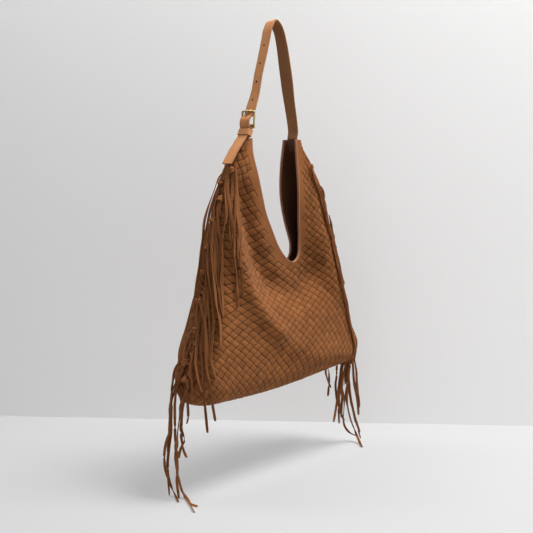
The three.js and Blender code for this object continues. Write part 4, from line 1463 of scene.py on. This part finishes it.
TASSELS = (
    Tassel(Side.LEFT, 1, (
        ((-100, -15, 350), (-105, -23, 317), (-114, -29, 290), (-121, -32, 260), (-124, -36, 221),
         (-122, -39, 179), (-123, -40, 141)),
        ((-101, -18, 348), (-105, -24, 310), (-108, -31, 280), (-110, -37, 253), (-116, -42, 225),
         (-116, -43, 188), (-112, -41, 155)),
        ((-102, -4, 348), (-113, -11, 321), (-118, -18, 302), (-121, -26, 280), (-122, -33, 255),
         (-125, -35, 225), (-125, -36, 198)),
        ((-103, 0, 347), (-115, -9, 317), (-121, -17, 295), (-126, -21, 272), (-130, -20, 255),
         (-134, -21, 231), (-137, -24, 211), (-144, -27, 177)),
    )),
    Tassel(Side.LEFT, 2, (
        ((-106, 1, 345), (-113, 7, 336), (-119, 11, 317), (-128, 16, 290), (-134, 18, 269),
         (-139, 17, 242), (-145, 16, 219), (-150, 14, 197), (-156, 13, 175), (-163, 11, 148)),
        ((-115, 5, 324), (-120, 9, 311), (-126, 13, 291), (-131, 14, 267), (-138, 15, 242),
         (-144, 14, 219), (-151, 12, 190), (-158, 9, 153), (-166, 10, 126)),
        ((-115, 3, 321), (-122, 5, 302), (-128, 4, 279), (-133, 1, 257), (-141, -3, 228),
         (-148, -12, 191), (-153, -22, 155), (-160, -28, 119)),
    )),
    Tassel(Side.LEFT, 3, (
        ((-123, -1, 306), (-128, 2, 294), (-131, 0, 278), (-135, -6, 254), (-141, -12, 225),
         (-146, -19, 192), (-148, -29, 160), (-151, -36, 137)),
        ((-120, -5, 306), (-127, -3, 290), (-130, -8, 269), (-133, -17, 243), (-136, -22, 216),
         (-142, -28, 177), (-147, -35, 141)),
        ((-121, -7, 305), (-127, -7, 284), (-133, -8, 257), (-137, -15, 228), (-141, -20, 199),
         (-145, -26, 170), (-152, -33, 133), (-155, -40, 105)),
    )),
    Tassel(Side.LEFT, 4, (
        ((-131, 2, 275), (-137, 5, 256), (-142, 1, 227), (-147, -6, 198), (-155, -12, 162),
         (-167, -16, 118)),
        ((-133, -2, 272), (-140, -5, 243), (-145, -12, 210), (-150, -21, 177), (-154, -29, 148),
         (-156, -38, 120), (-161, -44, 91)),
        ((-130, 5, 275), (-139, 9, 242), (-147, 5, 209), (-155, -4, 169), (-164, -15, 125),
         (-174, -23, 90)),
    )),
    Tassel(Side.LEFT, 5, (
        ((-140, 9, 233), (-146, 8, 209), (-153, 6, 183), (-159, -2, 154), (-167, -13, 118),
         (-178, -23, 80)),
        ((-142, 1, 233), (-149, -5, 206), (-154, -16, 169), (-159, -27, 134), (-168, -33, 98),
         (-175, -37, 73), (-174, -42, 55), (-171, -45, 35)),
        ((-141, 5, 233), (-150, -2, 198), (-157, -13, 155), (-165, -25, 112), (-178, -35, 67)),
    )),
    Tassel(Side.LEFT, 6, (
        ((-151, 6, 196), (-157, 10, 171), (-165, 14, 141), (-172, 17, 114), (-181, 19, 90),
         (-188, 18, 72), (-191, 13, 56)),
        ((-150, 3, 196), (-155, -5, 169), (-164, -12, 133), (-176, -19, 90), (-184, -30, 53),
         (-188, -32, 19)),
        ((-149, 6, 196), (-157, 4, 161), (-167, 2, 124), (-177, -1, 92), (-185, -5, 70)),
    )),
    Tassel(Side.LEFT, 7, (
        ((-161, 6, 155), (-168, 13, 131), (-175, 17, 108), (-182, 18, 86), (-189, 15, 65)),
        ((-161, 2, 155), (-171, -5, 118), (-177, -15, 90), (-186, -29, 48), (-185, -32, 13),
         (-180, -33, -39)),
        ((-163, 0, 155), (-166, -15, 126), (-173, -26, 98), (-179, -33, 63), (-180, -40, 34),
         (-166, -31, 0), (-156, -26, -27)),
    )),
    Tassel(Side.LEFT, 8, (
        ((-174, -2, 112), (-178, 7, 105), (-182, 11, 90), (-188, 9, 72), (-192, 5, 58)),
        ((-172, -2, 111), (-177, -10, 89), (-185, -16, 66), (-189, -26, 43), (-188, -33, 24)),
        ((-171, 1, 110), (-179, -1, 88), (-186, -4, 67), (-193, -13, 43), (-196, -18, 23)),
    )),
    Tassel(Side.LEFT, 9, (
        ((-190, 1, 67), (-192, 11, 63), (-196, 19, 50), (-198, 21, 35), (-200, 23, 12), (-202, 22, -18),
         (-205, 21, -40), (-211, 23, -54), (-217, 23, -76), (-216, 23, -89), (-211, 22, -100)),
        ((-189, 4, 63), (-194, 12, 39), (-199, 22, 18), (-198, 24, -4), (-201, 23, -41), (-205, 24, -71),
         (-208, 24, -101), (-204, 25, -118), (-197, 20, -142), (-214, -5, -142)),
        ((-189, 6, 61), (-194, 16, 28), (-198, 27, 0), (-202, 28, -57), (-204, 29, -103),
         (-203, 27, -142)),
        ((-190, 1, 64), (-199, 11, 26), (-200, 15, -2), (-199, 16, -33), (-199, 16, -63),
         (-197, 16, -94), (-197, 15, -125), (-202, 6, -142)),
    )),
    Tassel(Side.LEFT, 10, (
        ((-195, 0, 44), (-199, 0, 8), (-207, 1, -36), (-209, 2, -66), (-210, 0, -103), (-204, 1, -125),
         (-195, 0, -141), (-210, -26, -142), (-209, -39, -142)),
        ((-195, 2, 41), (-199, 5, -8), (-206, 6, -52), (-207, 8, -83), (-202, 7, -114), (-194, 4, -142),
         (-214, -31, -142), (-227, -52, -142)),
        ((-195, -2, 38), (-198, -2, 8), (-202, -1, -18), (-202, -2, -36), (-199, -2, -47)),
        ((-195, -5, 38), (-196, -7, 8), (-196, -8, -18), (-197, -6, -27)),
        ((-195, 0, 38), (-198, 0, 1), (-201, 0, -29), (-199, 1, -39), (-196, -2, -53), (-201, 1, -64),
         (-206, 0, -78)),
    )),
    Tassel(Side.RIGHT, 1, (
        ((69, -24, 355), (75, -25, 335), (87, -23, 319), (95, -20, 301), (101, -20, 277),
         (107, -21, 253), (113, -23, 230)),
        ((88, -8, 355), (113, -2, 318), (128, 1, 276), (140, -2, 227)),
        ((69, -24, 352), (78, -24, 330), (89, -20, 311), (97, -19, 287), (103, -20, 267),
         (109, -22, 241), (115, -24, 220)),
        ((89, -7, 352), (115, 1, 310), (130, 1, 265), (142, -3, 217)),
    )),
    Tassel(Side.RIGHT, 2, (
        ((87, -24, 323), (94, -27, 318), (100, -27, 302), (102, -27, 284), (108, -28, 264),
         (113, -30, 243), (119, -32, 218), (126, -34, 192), (131, -35, 170), (135, -37, 154)),
        ((113, -3, 323), (124, -8, 301), (135, -7, 262), (146, -11, 215), (158, -14, 166),
         (162, -16, 150)),
        ((87, -22, 319), (95, -19, 297), (103, -19, 276), (108, -21, 250), (114, -22, 226),
         (120, -24, 202), (127, -26, 178), (133, -25, 153)),
        ((113, -1, 318), (129, 2, 274), (141, -1, 223), (154, -5, 174), (160, -4, 149)),
    )),
    Tassel(Side.RIGHT, 3, (
        ((104, -18, 274), (107, -22, 260), (112, -27, 243), (116, -29, 223), (122, -32, 199),
         (127, -34, 179), (132, -36, 157)),
        ((130, 3, 272), (139, -6, 241), (149, -11, 196), (159, -15, 153)),
        ((103, -17, 272), (108, -17, 250), (114, -18, 225), (120, -20, 198), (127, -22, 174),
         (133, -22, 147)),
        ((129, 4, 270), (141, 3, 222), (154, -1, 170), (160, -1, 143)),
    )),
    Tassel(Side.RIGHT, 4, (
        ((114, -20, 230), (119, -23, 212), (124, -26, 191), (130, -28, 168), (135, -31, 146),
         (141, -32, 131), (145, -32, 113)),
        ((141, 1, 227), (151, -5, 188), (162, -10, 142), (172, -12, 108)),
        ((113, -19, 228), (119, -20, 203), (125, -21, 178), (132, -22, 153), (139, -24, 125)),
        ((140, 2, 225), (152, 0, 174), (166, -3, 120)),
    )),
    Tassel(Side.RIGHT, 5, (
        ((126, -22, 187), (130, -26, 171), (134, -29, 153), (139, -33, 139), (144, -34, 126),
         (150, -35, 104), (157, -34, 82), (165, -34, 56)),
        ((153, -1, 184), (161, -8, 149), (171, -14, 121), (184, -14, 76), (192, -14, 50)),
        ((124, -21, 186), (131, -23, 160), (139, -24, 134), (147, -24, 106), (156, -21, 79)),
        ((151, 0, 183), (166, -3, 129), (183, -1, 73)),
    )),
    Tassel(Side.RIGHT, 6, (
        ((134, -27, 155), (139, -33, 139), (142, -35, 122), (148, -37, 111), (154, -39, 89),
         (160, -40, 70), (166, -42, 50), (169, -42, 37)),
        ((161, -6, 151), (169, -15, 117), (181, -19, 84), (193, -22, 44), (196, -22, 31)),
        ((133, -26, 151), (139, -28, 131), (145, -29, 113), (152, -30, 89), (159, -28, 69),
         (164, -28, 48), (168, -27, 33)),
        ((160, -5, 147), (172, -9, 108), (186, -8, 63), (195, -7, 27)),
    )),
    Tassel(Side.RIGHT, 7, (
        ((145, -29, 116), (153, -30, 92), (160, -30, 69), (166, -32, 49), (170, -32, 31), (172, -32, 9)),
        ((172, -9, 111), (187, -10, 63), (197, -12, 24), (199, -12, 2)),
        ((144, -28, 113), (153, -25, 84), (161, -24, 57), (167, -24, 30), (169, -24, 1), (175, -20, -29)),
        ((171, -8, 108), (188, -4, 51), (196, -4, -6), (196, -4, -35)),
    )),
    Tassel(Side.RIGHT, 8, (
        ((159, -28, 71), (165, -22, 33), (167, -15, 6), (164, -13, -25), (164, -7, -72), (168, 2, -100)),
        ((186, -8, 65), (193, 5, -1), (180, 6, -77), (174, 7, -102)),
        ((160, -29, 69), (166, -23, 33), (175, -11, -2), (185, 2, -36), (189, 7, -71), (190, 6, -108)),
        ((187, -9, 63), (193, 3, -7), (189, 7, -71), (190, 6, -108)),
        ((161, -31, 69), (168, -26, 33), (169, -22, -3), (168, -20, -31)),
    )),
    Tassel(Side.RIGHT, 9, (
        ((169, -34, 43), (174, -36, 31), (178, -39, -2), (191, -31, -36), (204, -26, -60),
         (209, -23, -77)),
        ((196, -14, 37), (205, -19, -9), (212, -20, -63), (212, -21, -78)),
        ((168, -32, 41), (171, -35, 24), (175, -35, 5), (183, -31, -26), (203, -23, -61), (212, -20, -92)),
        ((195, -12, 35), (202, -15, -2), (212, -16, -64), (212, -20, -92)),
        ((167, -31, 39), (164, -28, 13), (159, -22, -28), (164, -12, -54), (180, -7, -91),
         (189, -5, -100)),
        ((167, -31, 39), (166, -24, 5), (167, -16, -34), (182, -10, -59), (195, 0, -109),
         (210, -1, -128), (212, -17, -132)),
    )),
    Tassel(Side.RIGHT, 10, (
        ((170, -31, 31), (166, -29, 6), (169, -31, -23), (181, -24, -50), (205, -15, -87),
         (212, -24, -124)),
        ((197, -11, 24), (195, -11, -31), (212, -10, -89), (212, -24, -124)),
        ((169, -32, 29), (163, -32, -8), (162, -32, -30), (168, -24, -51), (182, -18, -73),
         (204, -11, -107), (212, -17, -130), (192, -43, -142)),
        ((196, -12, 22), (188, -12, -38), (193, -10, -77), (212, -17, -130), (192, -43, -142)),
        ((170, -33, 29), (168, -33, -1), (171, -28, -33), (195, -20, -75), (212, -17, -110),
         (212, -26, -134)),
        ((178, 26, -4), (187, 28, -17), (190, 30, -41), (187, 30, -61)),
        ((175, 26, -7), (178, 28, -19), (194, 30, -47)),
    )),
)


@dataclass(frozen=True)
class Backdrop:
    """Plain pale floor and wall."""

    left: tuple[float, float] = (-0.1217, 0.6221)
    right: tuple[float, float] = (0.5266, -0.2046)
    level: float = FLOOR_LEVEL * MM
    size: float = 6.0

    def build(self) -> None:
        """Build the floor and the wall."""
        along = Vector((self.right[0] - self.left[0], self.right[1] - self.left[1], 0)).normalized()
        away = Vector((-along.y, along.x, 0))
        middle = Vector(((self.left[0] + self.right[0]) / 2, (self.left[1] + self.right[1]) / 2, self.level))
        half = along * self.size
        near = -away * self.size
        rise = Vector((0, 0, self.size))
        floor = Pale("floor", (0.34, 0.342, 0.347), 0.23, 0.36)
        wall = Pale("wall", (0.65, 0.65, 0.654), 0.11, 0.28, clear_behind=True)
        start, end = middle - half, middle + half
        self._sheet(floor, [start + near, end + near, end - near, start - near])
        self._sheet(wall, [start, end, end + rise, start + rise])

    @staticmethod
    def _sheet(finish: "Pale", corners: list[Vector]) -> None:
        mesh = bpy.data.meshes.new(finish.name)
        mesh.from_pydata([tuple(corner) for corner in corners], [], [(0, 1, 2, 3)])
        sheet = bpy.data.objects.new(finish.name, mesh)
        bpy.context.scene.collection.objects.link(sheet)
        sheet.data.materials.append(finish.make())


@dataclass(frozen=True)
class Pale:
    """Finish of the floor or the wall: plain, with a glow that only the camera sees."""

    name: str
    color: tuple[float, float, float]
    glow_left: float
    glow_right: float
    bounce: float = 0.55
    edges: tuple[float, float] = (-0.6, 0.55)
    clear_behind: bool = False

    def make(self) -> bpy.types.Material:
        """Make the material.

        Returns:
            The material.
        """
        material = bpy.data.materials.new(self.name)
        material.use_nodes = True
        nodes, links = material.node_tree.nodes, material.node_tree.links
        shader = nodes["Principled BSDF"]
        ray = nodes.new("ShaderNodeLightPath").outputs["Is Camera Ray"]
        shown = nodes.new("ShaderNodeMix")
        shown.data_type = "RGBA"
        shown.inputs["A"].default_value = (self.bounce, self.bounce, self.bounce, 1.0)
        shown.inputs["B"].default_value = (*self.color, 1.0)
        links.new(ray, shown.inputs["Factor"])
        links.new(shown.outputs["Result"], shader.inputs["Base Color"])
        place = nodes.new("ShaderNodeTexCoord")
        split = nodes.new("ShaderNodeSeparateXYZ")
        ramp = nodes.new("ShaderNodeMapRange")
        ramp.inputs["From Min"].default_value, ramp.inputs["From Max"].default_value = self.edges
        ramp.inputs["To Min"].default_value = self.glow_left
        ramp.inputs["To Max"].default_value = self.glow_right
        glow = nodes.new("ShaderNodeMath")
        glow.operation = "MULTIPLY"
        links.new(place.outputs["Object"], split.inputs["Vector"])
        links.new(split.outputs["X"], ramp.inputs["Value"])
        links.new(ramp.outputs["Result"], glow.inputs[0])
        links.new(ray, glow.inputs[1])
        links.new(glow.outputs[0], shader.inputs["Emission Strength"])
        shader.inputs["Emission Color"].default_value = (1.0, 1.0, 1.01, 1.0)
        shader.inputs["Roughness"].default_value = 0.95
        shader.inputs["Specular IOR Level"].default_value = 0.1
        if self.clear_behind:
            behind = nodes.new("ShaderNodeNewGeometry").outputs["Backfacing"]
            mix = nodes.new("ShaderNodeMixShader")
            links.new(behind, mix.inputs["Fac"])
            links.new(shader.outputs["BSDF"], mix.inputs[1])
            links.new(nodes.new("ShaderNodeBsdfTransparent").outputs["BSDF"], mix.inputs[2])
            links.new(mix.outputs["Shader"], nodes["Material Output"].inputs["Surface"])
        return material


@dataclass(frozen=True)
class Lamp:
    """Soft rectangular lamp aimed at a point."""

    name: str
    place: tuple[float, float, float]
    aim: tuple[float, float, float]
    size: float
    power: float
    color: tuple[float, float, float] = (1.0, 1.0, 1.0)

    def build(self) -> None:
        """Place the lamp."""
        data = bpy.data.lights.new(self.name, "AREA")
        data.shape = "SQUARE"
        data.size = self.size
        data.energy = self.power
        data.color = self.color
        lamp = bpy.data.objects.new(self.name, data)
        bpy.context.scene.collection.objects.link(lamp)
        lamp.location = self.place
        lamp.rotation_euler = (Vector(self.aim) - Vector(self.place)).to_track_quat("-Z", "Y").to_euler()


@dataclass(frozen=True)
class Studio:
    """Camera, lamps and ambient light."""

    ambient: float = 0.15
    lens: float = 62.67
    camera_place: tuple[float, float, float] = (-1.11375, -0.99466, -0.233)
    camera_pitch: float = 84.1
    camera_heading: float = -47.9

    def build(self) -> None:
        """Set the studio up."""
        Backdrop().build()
        for lamp in self._lamps():
            lamp.build()
        world = bpy.data.worlds.new("ambient")
        world.use_nodes = True
        background = world.node_tree.nodes["Background"]
        background.inputs["Color"].default_value = (0.97, 0.98, 1.0, 1.0)
        background.inputs["Strength"].default_value = self.ambient
        bpy.context.scene.world = world
        data = bpy.data.cameras.new("camera")
        data.lens = self.lens
        data.sensor_width = 36.0
        camera = bpy.data.objects.new("camera", data)
        camera.location = self.camera_place
        camera.rotation_euler = (math.radians(self.camera_pitch), 0.0, math.radians(self.camera_heading))
        bpy.context.scene.collection.objects.link(camera)
        bpy.context.scene.camera = camera
        bpy.context.scene.view_settings.view_transform = "Standard"

    @staticmethod
    def _lamps() -> tuple[Lamp, ...]:
        warm, warmish = (1.0, 0.985, 0.96), (1.0, 0.99, 0.97)
        return (
            Lamp("key", (0.45, -0.7, 1.45), aim=(0.0, 0.0, -0.42), size=0.9, power=60.0, color=warm),
            Lamp("right", (1.05, -1.45, 0.1), aim=(0.05, 0.0, -0.45), size=0.8, power=4.5, color=warmish),
            Lamp("back", (-0.45, 0.8, 0.9), aim=(0.0, 0.0, -0.4), size=0.6, power=9.0),
            Lamp("left", (-1.3, -0.5, 1.0), aim=(0.0, 0.0, 0.0), size=0.7, power=4.0),
        )


class Bag:
    """The whole bag."""

    def __init__(self) -> None:
        self.finishes = Finishes.make()
        self.line = StrapLine()

    def build(self) -> None:
        """Build every piece in order."""
        for face in Face:
            WovenPanel(face).build(self.finishes.woven)
            Lining(face).build(self.finishes.lining)
            Rim(face).build(self.finishes.raw_edge)
        Strap(self.line).build(self.finishes)
        Chape(self.line).build(self.finishes)
        Keeper(self.line).build(self.finishes)
        Buckle().build(self.finishes)
        for tassel in TASSELS:
            tassel.build(self.finishes.lace)


def main() -> None:
    """Build the bag and its studio."""
    logging.basicConfig(level=logging.INFO, format="%(name)s: %(message)s")
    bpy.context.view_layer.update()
    Bag().build()
    Studio().build()


if __name__ == "__main__":
    main()
